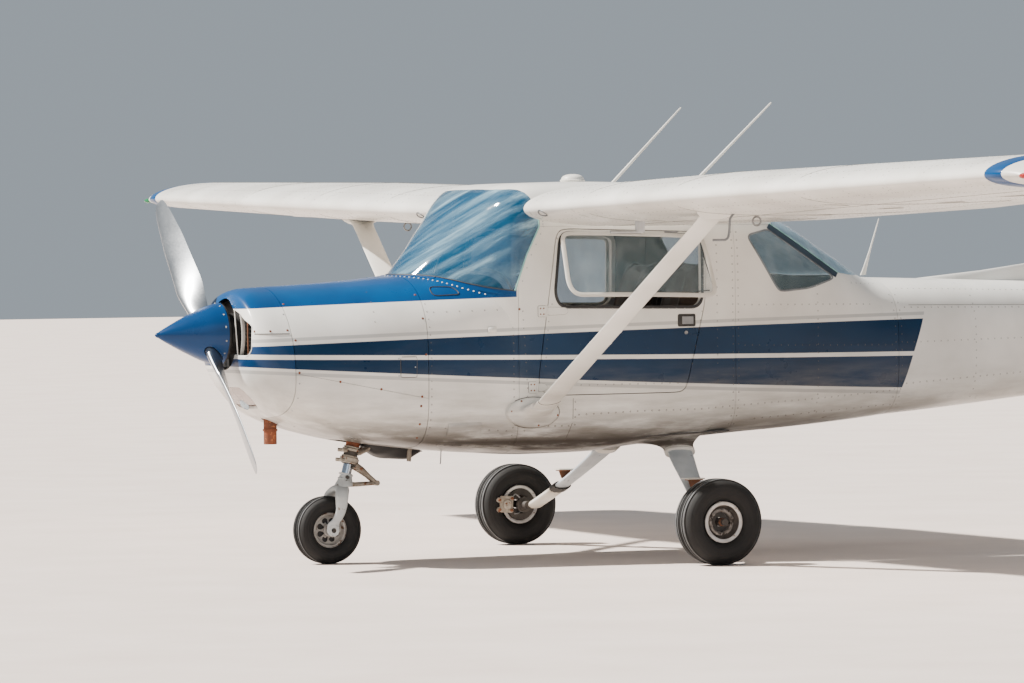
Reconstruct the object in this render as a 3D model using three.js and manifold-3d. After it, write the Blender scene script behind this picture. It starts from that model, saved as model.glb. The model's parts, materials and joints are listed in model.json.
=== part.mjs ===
// A two-seat light aircraft with a high strut-braced wing and a fixed nosewheel gear.
// Millimetres, +Z up, nose towards -X, port side towards -Y.
// Stations are distances aft of the nose wheel's contact with the ground.

import * as THREE from 'three';
import { mergeVertices } from 'three/addons/utils/BufferGeometryUtils.js';
import Module from 'manifold-3d';

const wasm = await Module();
wasm.setup();

// Driving dimensions

const spinnerTip = -846;
const tailEnd = 6494;
const midLength = (spinnerTip + tailEnd) / 2;
const touch = 0.4;
const hingeGap = 6;

const capRear = -320;
const firewall = 330;
const bootRear = 770;
const centreRear = 1900;
const cabinRear = 2830;
const sideTop = 1575;
const cabinWall = 35;
const rearWall = 22;
const doorWall = 40;
const cowlWall = 14;
const glassWall = 7;
const tailWall = 8;
const wingWall = 8;

const thrustLine = 1088;
const spinnerBase = -530;
const spinnerRadius = 148;
const propellerStation = -588;
const bladeRest = THREE.MathUtils.degToRad(45);
const propellerPitch = 1370;

const wingRoot = 548;
const wingKink = 2115;
const wingEnd = 4770;
const wingTip = 5080;
const flapInner = 606;
const flapOuter = 2548;
const aileronInner = 2570;
const aileronOuter = 4726;
const rearCut = 0.752;

const mainAxle = { station: 1488, side: 1159, height: 201 };
const mainTyre = { radius: 201, width: 160, rim: 88 };
const noseAxle = { station: 6, height: 160 };
const noseTyre = { radius: 160, width: 124, rim: 70 };

const stabMid = 1248;
const stabHinge = 5620;
const elevatorTip = 1525;
const rudderFoot = { station: 5572, height: 945 };
const rudderHead = { station: 6192, height: 2352 };

// Painted and bare surfaces

const paints = {
  white: [0xe9e8e2, 0.3, 0],
  blue: [0x1a5fa6, 0.22, 0],
  silver: [0xb9bcc0, 0.35, 0.8],
  steel: [0x8d9196, 0.4, 0.7],
  iron: [0x4f5154, 0.7, 0.5],
  glass: [0x9fb6bf, 0.1, 0],
  tyre: [0x262626, 0.9, 0],
  trim: [0x2b2c2e, 0.8, 0],
  cloth: [0x7b7468, 0.9, 0],
  red: [0xa3231c, 0.3, 0],
};

const aircraft = new THREE.Group();
aircraft.position.x = -midLength;

function addPart(name, solid, paint) {
  const [color, roughness, metalness] = paints[paint];
  const material = new THREE.MeshStandardMaterial({ color, roughness, metalness });
  const mesh = new THREE.Mesh(toGeometry(solid), material);
  mesh.name = name;
  aircraft.add(mesh);
}

// Solids and geometry

function toSolid(geometry) {
  const bare = geometry.clone();
  bare.deleteAttribute('normal');
  bare.deleteAttribute('uv');
  const merged = mergeVertices(bare, 1e-3);
  const vertProperties = new Float32Array(merged.attributes.position.array);
  const triVerts = new Uint32Array(merged.index.array);
  return new wasm.Manifold(new wasm.Mesh({ numProp: 3, vertProperties, triVerts }));
}

function toGeometry(solid) {
  const mesh = solid.getMesh();
  const geometry = new THREE.BufferGeometry();
  geometry.setAttribute('position', new THREE.BufferAttribute(mesh.vertProperties, 3));
  geometry.setIndex(new THREE.BufferAttribute(mesh.triVerts, 1));
  geometry.computeVertexNormals();
  return geometry;
}

function union(...solids) {
  return solids.reduce((sum, solid) => sum.add(solid));
}

function box(x0, x1, y0, y1, z0, z1) {
  const geometry = new THREE.BoxGeometry(x1 - x0, y1 - y0, z1 - z0);
  geometry.translate((x0 + x1) / 2, (y0 + y1) / 2, (z0 + z1) / 2);
  return toSolid(geometry);
}

// A round bar from one point to another, with a radius at each end.
function bar(from, to, radius, endRadius = radius, sides = 12) {
  const start = new THREE.Vector3(...from);
  const end = new THREE.Vector3(...to);
  const along = end.clone().sub(start);
  const geometry = new THREE.CylinderGeometry(endRadius, radius, along.length(), sides);
  const up = new THREE.Vector3(0, 1, 0);
  geometry.applyQuaternion(new THREE.Quaternion().setFromUnitVectors(up, along.normalize()));
  geometry.translate(...start.add(end).multiplyScalar(0.5).toArray());
  return toSolid(geometry);
}

// A side-view outline of [station, height] points, given thickness from one side to the other.
function sidePlate(outline, y0, y1) {
  const shape = new THREE.Shape(outline.map(([x, z]) => new THREE.Vector2(x, z)));
  const geometry = new THREE.ExtrudeGeometry(shape, { depth: y1 - y0, bevelEnabled: false });
  geometry.rotateX(Math.PI / 2);
  geometry.translate(0, y1, 0);
  return toSolid(geometry);
}

// A profile of [distance along, radius] points turned about a line through a centre.
function turned(profile, centre, axis, segments = 32) {
  const points = profile.map(([along, radius]) => new THREE.Vector2(radius, along));
  const geometry = new THREE.LatheGeometry(points, segments);
  const up = new THREE.Vector3(0, 1, 0);
  const direction = new THREE.Vector3(...axis).normalize();
  geometry.applyQuaternion(new THREE.Quaternion().setFromUnitVectors(up, direction));
  geometry.translate(...centre);
  return outward(geometry);
}

// Turns the faces of a closed surface outwards.
function outward(geometry) {
  const bare = geometry.clone();
  bare.deleteAttribute('normal');
  bare.deleteAttribute('uv');
  const merged = mergeVertices(bare, 1e-3);
  const position = merged.attributes.position;
  const index = merged.index.array;
  const [a, b, c] = [new THREE.Vector3(), new THREE.Vector3(), new THREE.Vector3()];
  const kept = [];
  let volume = 0;
  for (let i = 0; i < index.length; i += 3) {
    const corners = [index[i], index[i + 1], index[i + 2]];
    if (new Set(corners).size < 3) continue;
    a.fromBufferAttribute(position, corners[0]);
    b.fromBufferAttribute(position, corners[1]);
    c.fromBufferAttribute(position, corners[2]);
    volume += a.dot(b.cross(c));
    kept.push(...corners);
  }
  if (volume < 0) kept.reverse();
  merged.setIndex(kept);
  return toSolid(merged);
}

// A skin through rings of equal count, each a list of [x, y, z], closed by a flat cap at each end.
function loft(rings) {
  const count = rings[0].length;
  const last = rings.length - 1;
  const index = [];
  for (let r = 0; r < last; r += 1) {
    for (let i = 0; i < count; i += 1) {
      const j = (i + 1) % count;
      const [a, b] = [r * count + i, r * count + j];
      index.push(a, b, b + count, a, b + count, a + count);
    }
  }
  index.push(...capFaces(rings[0], rings[1], 0));
  index.push(...capFaces(rings[last], rings[last - 1], last * count));
  const geometry = new THREE.BufferGeometry();
  geometry.setAttribute('position', new THREE.Float32BufferAttribute(rings.flat(2), 3));
  const sense = ringNormal(rings[0]).dot(ringCentre(rings[1]).sub(ringCentre(rings[0])));
  if (sense < 0) {
    for (let i = 0; i < last * count * 6; i += 3) {
      [index[i + 1], index[i + 2]] = [index[i + 2], index[i + 1]];
    }
  }
  geometry.setIndex(index);
  return toSolid(geometry);
}

function ringCentre(ring) {
  const centre = new THREE.Vector3();
  ring.forEach((point) => centre.add(new THREE.Vector3(...point)));
  return centre.divideScalar(ring.length);
}

function ringNormal(ring) {
  const normal = new THREE.Vector3();
  ring.forEach((point, i) => {
    const next = ring[(i + 1) % ring.length];
    normal.add(new THREE.Vector3(...point).cross(new THREE.Vector3(...next)));
  });
  return normal.normalize();
}

// Triangles of a flat cap that faces away from the neighbouring ring.
function capFaces(ring, neighbour, offset) {
  const normal = ringNormal(ring);
  const across = new THREE.Vector3(...ring[1]).sub(new THREE.Vector3(...ring[0])).normalize();
  const aside = normal.clone().cross(across);
  const flat = ring.map((point) => {
    const vector = new THREE.Vector3(...point);
    return new THREE.Vector2(vector.dot(across), vector.dot(aside));
  });
  const away = ringCentre(ring).sub(ringCentre(neighbour));
  const faces = THREE.ShapeUtils.triangulateShape(flat, []);
  return faces.flatMap(([i, j, k]) => {
    const [p, q, s] = [i, j, k].map((n) => new THREE.Vector3(...ring[n]));
    const facing = q.sub(p).cross(s.sub(p)).dot(away);
    const order = facing > 0 ? [i, j, k] : [i, k, j];
    return order.map((n) => n + offset);
  });
}

// The same solid on the other side of the aircraft.
function mirrored(solid) {
  const mesh = solid.getMesh();
  const vertProperties = mesh.vertProperties.slice();
  for (let i = 1; i < vertProperties.length; i += 3) vertProperties[i] *= -1;
  const triVerts = mesh.triVerts.slice().reverse();
  return new wasm.Manifold(new wasm.Mesh({ numProp: 3, vertProperties, triVerts }));
}

function addPair(name, portSolid, paint) {
  addPart(`${name}_left`, portSolid, paint);
  addPart(`${name}_right`, mirrored(portSolid), paint);
}

// Body sections: each half is a superellipse from the widest height up to the top or down to the bottom.
// station, top, bottom, half width, widest height, top power, bottom power

const noseRows = [
  [-500, 1236, 905, 296, 1062, 2.2, 2.2],
  [-478, 1280, 842, 350, 1036, 2.1, 2.2],
  [-420, 1300, 774, 402, 980, 2.0, 2.4],
  [-320, 1306, 696, 444, 895, 2.0, 2.7],
  [-170, 1313, 637, 458, 890, 2.1, 3.2],
  [100, 1330, 573, 468, 900, 2.4, 3.8],
  [330, 1352, 541, 480, 930, 2.7, 4.4],
  [560, 1372, 519, 504, 950, 3.2, 5.0],
  [770, 1384, 505, 524, 960, 3.6, 5.4],
];

const cabinRows = [
  [300, 1305, 640, 180, 960, 2.2, 4.0],
  [340, 1353, 630, 236, 960, 2.2, 4.0],
  [450, 1476, 625, 341, 960, 2.2, 4.0],
  [565, 1614, 620, 428, 960, 2.4, 4.2],
  [700, 1738, 560, 498, 960, 3.6, 5.0],
  [768, 1765, 505, 525, 960, 4.9, 5.4],
  [890, 1781, 501, 532, 960, 6.6, 5.6],
  [1200, 1787, 508, 538, 960, 7.0, 6.0],
  [1420, 1783, 530, 536, 965, 7.0, 5.8],
  [1690, 1757, 556, 528, 970, 6.6, 5.4],
  [1980, 1697, 577, 510, 975, 5.6, 5.0],
  [2250, 1606, 593, 484, 985, 4.2, 4.6],
  [2530, 1448, 614, 448, 985, 3.4, 4.2],
  [2760, 1320, 634, 414, 985, 3.0, 3.8],
  [2830, 1314, 642, 402, 985, 2.9, 3.7],
];

const tailRows = [
  [2830, 1314, 642, 402, 985, 2.9, 3.7],
  [3158, 1305, 668, 352, 988, 2.8, 3.5],
  [3733, 1286, 723, 268, 1000, 2.7, 3.3],
  [4500, 1261, 795, 174, 1020, 2.6, 3.0],
  [5200, 1239, 862, 100, 1048, 2.5, 2.8],
  [5720, 1222, 911, 58, 1066, 2.4, 2.6],
];

const ringSteps = 22;

// A table row worked out at a place between two of its rows; the first column is the place.
function rowAt(rows, place) {
  const i = rows.findIndex(([here], n) => n > 0 && place <= here + 1e-6);
  const [low, high] = [rows[i - 1], rows[i]];
  const share = (place - low[0]) / (high[0] - low[0]);
  return low.map((value, n) => value + (high[n] - value) * share);
}

function bodyRing([station, top, bottom, half, mid, topPower, bottomPower], inset) {
  return Array.from({ length: ringSteps }, (_, i) => {
    const angle = (2 * Math.PI * (i + 0.5)) / ringSteps;
    const [c, s] = [Math.cos(angle), Math.sin(angle)];
    const power = s > 0 ? topPower : bottomPower;
    const rise = s > 0 ? top - mid - inset : mid - bottom - inset;
    const y = (half - inset) * Math.sign(c) * Math.abs(c) ** (2 / power);
    const z = mid + rise * Math.sign(s) * Math.abs(s) ** (2 / power);
    return [station, y, z];
  });
}

// The body between two stations, shrunk by an inset; a steep top is lowered by more, to keep the wall even.
function body(rows, inset = 0, from = rows[0][0], to = rows.at(-1)[0]) {
  const steep = rows.map((row, i) => {
    const before = rows[Math.max(i - 1, 0)];
    const after = rows[Math.min(i + 1, rows.length - 1)];
    const slope = (after[1] - before[1]) / (after[0] - before[0]);
    return inset * (Math.hypot(1, slope) - 1);
  });
  const whole = loft(rows.map((row, i) => {
    const lowered = [...row];
    lowered[1] -= steep[i];
    return bodyRing(lowered, inset);
  }));
  return whole.intersect(box(from, to, -2000, 2000, 0, 3000));
}

// Windows and doors as side-view outlines of [station, height]

const screenLine = [
  [300, 1150], [430, 1150], [463, 1345], [522, 1327], [574, 1310], [630, 1295], [692, 1283], [755, 1275],
  [816, 1443], [884, sideTop], [884, 1792], [300, 1792],
];
// The roof's front edge seen from above: station, side
const roofEdge = [
  [735, 0], [738, 150], [745, 240], [775, 320], [822, 385], [860, 460], [884, 520], [884, 900],
];
const doorLine = [
  [862, 848], [884, 802], [930, 782], [1600, 784], [1634, 806],
  [1738, 1210], [1742, 1500], [1716, 1546], [1000, 1566], [962, 1540], [918, 1231],
];
const doorPane = [
  [956, 1256], [984, 1200], [1688, 1190], [1718, 1222], [1720, 1500], [1698, 1524], [1012, 1544], [984, 1518],
];
const quarterPane = [[1974, 1525], [2134, 1268], [2160, 1256], [2320, 1270], [2480, 1318], [2112, 1554]];
const rearPane = [[2134, 1580], [2504, 1340], [2600, 1327], [2786, 1327], [2786, 1660], [2240, 1660]];

// An outline moved inwards by a distance, corner by corner.
function shrink(outline, distance) {
  const area = outline.reduce((sum, [x, z], i) => {
    const [nextX, nextZ] = outline[(i + 1) % outline.length];
    return sum + x * nextZ - nextX * z;
  }, 0);
  const sense = Math.sign(area);
  return outline.map(([x, z], i) => {
    const [px, pz] = outline.at(i - 1);
    const [nx, nz] = outline[(i + 1) % outline.length];
    const before = new THREE.Vector2(x - px, z - pz).normalize();
    const after = new THREE.Vector2(nx - x, nz - z).normalize();
    const inward = new THREE.Vector2(-before.y - after.y, before.x + after.x).multiplyScalar(sense);
    const spread = distance / (1 + before.dot(after));
    return [x + inward.x * spread, z + inward.y * spread];
  });
}

// Nose: propeller, spinner and cowling

// distance from the hub, chord, thickness
const bladeRows = [
  [30, 96, 84],
  [110, 92, 58],
  [190, 112, 36],
  [330, 150, 26],
  [560, 150, 17],
  [740, 122, 12],
  [846, 84, 8],
  [876, 40, 5],
];
const bladeSides = 10;

function blade(grow) {
  return loft(bladeRows.map(([reach, chord, thickness]) => {
    const twist = Math.atan(propellerPitch / (2 * Math.PI * Math.max(reach, 150)));
    return Array.from({ length: bladeSides }, (_, i) => {
      const angle = (2 * Math.PI * i) / bladeSides;
      const u = (chord / 2 + grow) * Math.cos(angle);
      const v = (thickness / 2 + grow) * Math.sin(angle);
      const x = propellerStation - u * Math.sin(twist) + v * Math.cos(twist);
      return [x, u * Math.cos(twist) + v * Math.sin(twist), reach];
    });
  }));
}

function onPropeller(solid, turn) {
  const geometry = toGeometry(solid);
  geometry.rotateX(turn);
  geometry.translate(0, 0, thrustLine);
  return toSolid(geometry);
}

function propeller(grow) {
  const hub = bar([spinnerBase - 12, 0, 0], [-646, 0, 0], 66 + grow);
  const blades = [0, Math.PI].map((turn) => onPropeller(blade(grow), turn - bladeRest));
  return union(onPropeller(hub, 0), ...blades);
}

const spinnerProfile = [
  [0, 0], [0, spinnerRadius], [70, 128], [160, 88], [244, 45], [298, 14], [spinnerBase - spinnerTip, 0],
];
const spinnerBody = turned(spinnerProfile, [spinnerBase, 0, thrustLine], [-1, 0, 0], 24);
addPart('propeller', propeller(0), 'silver');
addPart('spinner', spinnerBody.subtract(propeller(3)), 'blue');

function cowl(from, to) {
  const skin = body(noseRows, 0, from, to);
  return skin.subtract(body(noseRows, cowlWall, from - 1, to + 1));
}

const inletLine = [
  [140, 1012], [186, 992], [236, 1006], [262, 1054], [256, 1128], [222, 1180], [172, 1186], [132, 1150],
];
const intakeLine = [[-96, 742], [96, 742], [112, 768], [88, 812], [-88, 812], [-112, 768]];

// A front-view outline of [across, height] points, given length from one station to another.
function frontPlate(outline, x0, x1) {
  const shape = new THREE.Shape(outline.map(([y, z]) => new THREE.Vector2(y, z)));
  const geometry = new THREE.ExtrudeGeometry(shape, { depth: x1 - x0, bevelEnabled: false });
  geometry.rotateX(Math.PI / 2);
  geometry.rotateZ(Math.PI / 2);
  geometry.translate(x0, 0, 0);
  return toSolid(geometry);
}

const capInner = body(noseRows, cowlWall, noseRows[0][0] + cowlWall, capRear + 1);
const inlet = frontPlate(inletLine, -620, -400);
let noseCap = body(noseRows, 0, noseRows[0][0], capRear - touch).subtract(capInner);
noseCap = noseCap.subtract(inlet).subtract(mirrored(inlet));
noseCap = noseCap.subtract(bar([-620, 0, thrustLine], [-400, 0, thrustLine], 96));
noseCap = noseCap.subtract(frontPlate(intakeLine, -620, -340));
addPart('cowl_nose_cap', noseCap, 'white');

const cowlSplit = [[-400, 924], [400, 767], [400, 300], [-400, 300]];
const cowlSkin = cowl(capRear, firewall - touch);
const nosePort = box(40, 400, -84, 84, 400, 700);
const exhaustRoot = [-268, 20, 700];
const exhaustEnd = [-268, 20, 568];
let lowerCowl = cowlSkin.intersect(sidePlate(shrink(cowlSplit, touch), -900, 900));
lowerCowl = lowerCowl.subtract(nosePort).subtract(bar(exhaustRoot, exhaustEnd, 42));
addPart('cowl_upper', cowlSkin.subtract(sidePlate(cowlSplit, -900, 900)), 'blue');
addPart('cowl_lower', lowerCowl, 'white');
addPart('engine_block', box(-318, 300, -345, 345, 790, 1120), 'iron');
addPart('exhaust_pipe', bar(exhaustRoot, exhaustEnd, 31), 'iron');

// Cabin

function screenPlate(outline, back) {
  const port = roofEdge.map(([x, y]) => [x - back, -y]).reverse();
  const starboard = roofEdge.slice(1).map(([x, y]) => [x - back, y]);
  const plan = planPlate([[200, -900], ...port, ...starboard, [200, 900]], 1000, 2000);
  return sidePlate(outline, -900, 900).intersect(plan);
}

const screenSpace = screenPlate(screenLine, 0);
const noseSolid = body(noseRows, 0);
const cabinSolid = body(cabinRows, 0);
const cabinHollow = body(cabinRows, cabinWall, cabinRows[0][0], centreRear + 1);
const rearHollow = body(cabinRows, rearWall, cabinRows[0][0], cabinRear - rearWall);
const bootHollow = body(noseRows, cabinWall, firewall + 16, bootRear);

const bootBlock = box(firewall, bootRear - touch, -900, 900, 300, 1900);
let boot = union(noseSolid.intersect(bootBlock), cabinSolid.intersect(bootBlock));
boot = boot.subtract(bootHollow).subtract(cabinHollow).subtract(screenSpace.subtract(noseSolid));
addPart('cabin_front', largest(boot), 'white');

// The biggest of the bodies that a cut leaves.
function largest(solid) {
  return solid.decompose().sort((a, b) => b.volume() - a.volume())[0];
}

const doorSpace = sidePlate(doorLine, -900, 900);
const centreBlock = box(bootRear, centreRear - touch, -900, 900, 300, sideTop);
const centreSkin = cabinSolid.intersect(centreBlock).subtract(cabinHollow);
addPart('cabin_centre', largest(centreSkin.subtract(screenSpace).subtract(doorSpace)), 'white');

const quarterSpace = sidePlate(quarterPane, -900, 900);
const rearSpace = sidePlate(rearPane, -900, 900);
const rearBlock = box(centreRear, cabinRear - touch, -900, 900, 300, sideTop);
const rearSkin = cabinSolid.intersect(rearBlock).subtract(rearHollow);
addPart('cabin_rear', largest(rearSkin.subtract(quarterSpace).subtract(rearSpace)), 'white');

const roofBlock = box(640, cabinRear, -900, 900, sideTop + touch, 2000);
const roofSkin = cabinSolid.intersect(roofBlock).subtract(rearHollow);
addPart('roof', largest(roofSkin.subtract(screenSpace).subtract(rearSpace)), 'white');

const glassInner = body(cabinRows, glassWall, cabinRows[0][0], cabinRear - 10);
const glassSheet = cabinSolid.subtract(glassInner);

function pane(outline) {
  return glassSheet.intersect(sidePlate(shrink(outline, 2), -900, 900));
}

const portHalf = box(0, 4000, -900, 0, 0, 3000);
const noseRaised = body(noseRows.map(([x, top, ...rest]) => [x, top + touch, ...rest]));
const screenGlass = glassSheet.intersect(screenPlate(shrink(screenLine, 2), 2));
addPart('windshield', largest(screenGlass.subtract(noseRaised)), 'glass');
addPart('rear_window', largest(pane(rearPane)), 'glass');
addPair('quarter_window', largest(pane(quarterPane).intersect(portHalf)), 'glass');

const doorInner = body(cabinRows, doorWall, 700, centreRear);
const doorSlab = cabinSolid.subtract(doorInner).intersect(portHalf);
const doorShell = doorSlab.intersect(sidePlate(shrink(doorLine, hingeGap), -900, 0));
addPair('door', largest(doorShell.subtract(sidePlate(doorPane, -900, 0))), 'white');

// The port window stands ajar on its top hinge.
const windowAjar = THREE.MathUtils.degToRad(30);
const windowPlate = largest(pane(doorPane).intersect(portHalf));
const windowHinge = [0, -526, 1538];
const openWindow = toGeometry(windowPlate);
openWindow.translate(0, -windowHinge[1], -windowHinge[2]);
openWindow.rotateX(-windowAjar);
openWindow.translate(0, windowHinge[1], windowHinge[2]);
addPart('door_window_left', toSolid(openWindow), 'glass');
addPart('door_window_right', mirrored(windowPlate), 'glass');

// Panel with two control wheels
let panel = box(742, 800, -440, 440, 980, 1290).add(box(560, 742, -320, 320, 1240, 1268));
[-240, 240].forEach((side) => {
  panel = panel.add(bar([790, side, 1110], [960, side, 1110], 11));
  panel = panel.add(box(944, 976, side - 130, side + 130, 1092, 1128));
});
addPart('instrument_panel', panel, 'trim');

const seatLine = [
  [1160, 870], [1180, 838], [1640, 822], [1700, 860], [1852, 1400], [1838, 1440], [1790, 1436], [1640, 1010],
  [1600, 960], [1190, 960],
];
addPair('seat', sidePlate(seatLine, -460, -70), 'cloth');

// Tail

const tailSolid = body(tailRows, 0, cabinRear, tailRows.at(-1)[0]);
const tailHollow = body(tailRows, tailWall, cabinRear - 1, 5300);
const rudderLean = Math.atan2(rudderHead.station - rudderFoot.station, rudderHead.height - rudderFoot.height);

function rudderLine(height, offset = 0) {
  const rise = height - rudderFoot.height;
  return rudderFoot.station + rise * Math.tan(rudderLean) + offset;
}

// A thickness form for a symmetrical tail section: distance along the chord from 0 to 1 gives half thickness.
function tailForm(along) {
  const powers = [Math.sqrt(along), along, along ** 2, along ** 3, along ** 4];
  return [1.4845, -0.63, -1.758, 1.4215, -0.5075].reduce((sum, factor, i) => sum + factor * powers[i], 0);
}

const chordSteps = [0, 0.02, 0.08, 0.2, 0.4, 0.65, 1];

// A tail section from its nose to the hinge cut, cut short at a share of its chord.
function tailRing(nose, trail, cut, thickness, place) {
  const chord = trail - nose;
  const share = (cut - nose) / chord;
  const upper = chordSteps.map((step) => {
    const along = step * share;
    return [nose + along * chord, tailForm(along) * thickness * chord];
  });
  const lower = upper.slice(1).reverse().map(([x, half]) => [x, -half]);
  return [...upper, ...lower].map(([x, half]) => place(x, half));
}

// The hollow of a tail section, a wall inside its sides and open at the hinge cut.
function tailHollowRing(nose, trail, cut, thickness, place) {
  const chord = trail - nose;
  const side = [0.08, 0.25, 0.5, 0.75, 1.05].map((step) => {
    const along = (step * (cut - nose)) / chord;
    return [nose + along * chord, tailForm(along) * thickness * chord - tailWall];
  });
  const other = side.slice().reverse().map(([x, half]) => [x, -half]);
  return [...side, ...other].map(([x, half]) => place(x, half));
}

// height, nose, trailing edge
const finRows = [
  [1180, 4786, 6095],
  [1530, 5030, 6205],
  [2240, 5626, 6436],
  [2330, 5716, 6452],
];
const finThickness = 0.075;
const hornCut = 2226;
const hornGap = 16;
const hornFrontEdge = 5945;

const finMain = loft(finRows.map(([height, nose, trail]) => {
  const cut = rudderLine(height, -34);
  return tailRing(nose, trail, cut, finThickness, (x, half) => [x, half, height]);
}));
const finHollow = loft([1275, 1530, 2200].map((height) => {
  const [, nose, trail] = rowAt(finRows, height);
  return tailHollowRing(nose, trail, rudderLine(height, -34), finThickness, (x, half) => [x, half, height]);
}));
const dorsalLine = [
  [3095, 1280], [3095, 1306], [3493, 1340], [3739, 1372], [5060, 1556], [5060, 1200], [4000, 1250],
];
const dorsal = sidePlate(dorsalLine, -22, 22);
const tailRaised = body(tailRows.map(([x, top, ...rest]) => [x, top + touch, ...rest]));

// Tailplane: side, nose, trailing edge
const stabRows = [
  [0, 5010, 6030],
  [1405, 5196, 5965],
];
const stabThickness = 0.085;

function stabilizer(grow) {
  const cut = stabHinge - 24 + grow;
  const thickness = stabThickness + grow / 450;
  const rings = [-1, 1].map((side) => stabRows.map(([reach, nose, trail]) => (
    tailRing(nose - grow, trail, cut, thickness, (x, half) => [x, side * reach, stabMid + half])
  )));
  return loft(rings[0]).add(loft(rings[1]));
}

function stabHollow(side) {
  return loft([58, 1385].map((reach) => {
    const [, nose, trail] = rowAt(stabRows, reach);
    const place = (x, half) => [x, side * reach, stabMid + half];
    return tailHollowRing(nose, trail, stabHinge - 24, stabThickness, place);
  }));
}

const tubeBore = bar([stabHinge, -300, stabMid], [stabHinge, 300, stabMid], 24);
const tailEndCut = sidePlate([
  [rudderLine(600, -32), 600], [rudderLine(2226, -32), 2226], [7000, 2226], [7000, 600],
], -300, 300);
const hornSpace = box(hornFrontEdge - 15, 7000, -200, 200, hornCut, 2500);

let fin = finMain.add(dorsal).subtract(tailEndCut).subtract(hornSpace);
fin = fin.subtract(stabilizer(touch)).subtract(tailRaised).subtract(tubeBore).subtract(finHollow);
addPart('fin', largest(fin), 'white');
let tailcone = tailSolid.subtract(tailHollow).subtract(tailEndCut);
tailcone = tailcone.subtract(stabilizer(touch)).subtract(tubeBore);
addPart('tailcone', largest(tailcone), 'white');
addPart('tailplane', stabilizer(0).subtract(stabHollow(-1)).subtract(stabHollow(1)), 'white');

// A control surface section: round nose about its hinge, straight sides to a thin trailing edge.
function controlRing(hinge, trail, radius, place) {
  const nose = Array.from({ length: 7 }, (_, i) => {
    const angle = Math.PI / 2 + (Math.PI * i) / 6;
    return [hinge + radius * Math.cos(angle), radius * Math.sin(angle)];
  });
  return [...nose, [trail, -3], [trail, 3]].map(([x, half]) => place(x, half));
}

const rudderRows = [
  [925, 6040, 20],
  [1530, 6205, 27],
  [hornCut + hornGap, 6450, 21],
  [rudderHead.height, tailEnd, 15],
];
const rudderMain = loft(rudderRows.map(([height, trail, radius]) => (
  controlRing(rudderLine(height), trail, radius, (x, half) => [x, half, height])
)));
// height, nose, rear end, half thickness
const hornRows = [
  [hornCut + hornGap, hornFrontEdge, 6260, 22],
  [rudderHead.height, hornFrontEdge + 45, 6280, 13],
];
const rudderHorn = loft(hornRows.map(([height, nose, rear, half]) => [
  [nose, 0, height], [nose + 30, half * 0.7, height], [nose + 120, half, height], [rear, half * 0.6, height],
  [rear, -half * 0.6, height], [nose + 120, -half, height], [nose + 30, -half * 0.7, height],
]));
addPart('rudder', rudderMain.add(rudderHorn), 'white');
const beaconProfile = [[0, 0], [0, 26], [30, 26], [52, 16], [58, 0]];
const beaconSeat = [5812, 0, finRows.at(-1)[0] + touch];
addPart('beacon', turned(beaconProfile, beaconSeat, [0, 0, 1], 12), 'red');

// Elevator: side, trailing edge, nose radius
const elevatorRows = [
  [92, 6020, 22],
  [1405, 5968, 17],
  [elevatorTip, 5955, 14],
];
const elevatorRearIn = 205;
const tabSpan = [380, 1080];
const tabHinge = 5912;

let elevator = loft(elevatorRows.map(([reach, trail, radius]) => (
  controlRing(stabHinge, trail, radius, (x, half) => [x, -reach, stabMid + half])
)));
const inboardCut = planPlate([
  [stabHinge + 10, -90], [6100, -elevatorRearIn - 20], [6100, 0], [stabHinge + 10, 0],
], stabMid - 200, stabMid + 200);
const hornFront = loft([[1417, 24], [elevatorTip, 15]].map(([reach, half]) => [
  [5440, -reach, stabMid],
  [5470, -reach, stabMid + half * 0.8],
  [stabHinge, -reach, stabMid + half],
  [stabHinge + 60, -reach, stabMid],
  [stabHinge, -reach, stabMid - half],
  [5470, -reach, stabMid - half * 0.8],
]));
const torqueTube = bar([stabHinge, -120, stabMid], [stabHinge, -touch / 2, stabMid], 14);
elevator = elevator.subtract(inboardCut).add(hornFront).add(torqueTube);
addPart('elevator_left', elevator, 'white');

// A plan-view outline of [station, side] points, from one height to another.
function planPlate(outline, low, high) {
  const shape = new THREE.Shape(outline.map(([x, y]) => new THREE.Vector2(x, y)));
  const geometry = new THREE.ExtrudeGeometry(shape, { depth: high - low, bevelEnabled: false });
  geometry.translate(0, 0, low);
  return toSolid(geometry);
}

const tabSpace = box(tabHinge - 10, 6100, tabSpan[0], tabSpan[1], stabMid - 100, stabMid + 100);
addPart('elevator_right', mirrored(elevator).subtract(tabSpace), 'white');
const tab = loft([tabSpan[0] + 7, tabSpan[1] - 7].map((reach) => (
  controlRing(tabHinge, 5994 - reach * 0.03, 4.4, (x, half) => [x, reach, stabMid + half * 0.9])
)));
addPart('elevator_trim_tab', tab, 'white');

// Wing sections: side, nose station, nose height, chord, incidence in degrees
const wingRows = [
  [wingRoot, 790, 1659, 1636, 2.0],
  [wingKink, 796, 1698, 1630, 2.0],
  [wingEnd, 949, 1759, 1180, 1.2],
];
const foilSteps = [0, 0.01, 0.05, 0.13, 0.28, 0.48, 0.76, 1];
const camber = 0.02;
const camberPlace = 0.4;
const foilThickness = 0.12;

// Height of the wing section's upper (+1) or lower (-1) side at a share of the chord.
function foil(along, side) {
  const mean = along < camberPlace
    ? (camber / camberPlace ** 2) * (2 * camberPlace * along - along ** 2)
    : (camber / (1 - camberPlace) ** 2) * (1 - 2 * camberPlace + 2 * camberPlace * along - along ** 2);
  return mean + side * foilThickness * tailForm(along) + side * 0.0012 * along;
}

// A point of the wing from a share of chord and a height share, on the port side.
function wingPoint([reach, nose, height, chord, incidence], along, lift) {
  const tilt = THREE.MathUtils.degToRad(incidence);
  const x = nose + chord * (along * Math.cos(tilt) + lift * Math.sin(tilt));
  const z = height + chord * (lift * Math.cos(tilt) - along * Math.sin(tilt));
  return [x, -reach, z];
}

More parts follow.
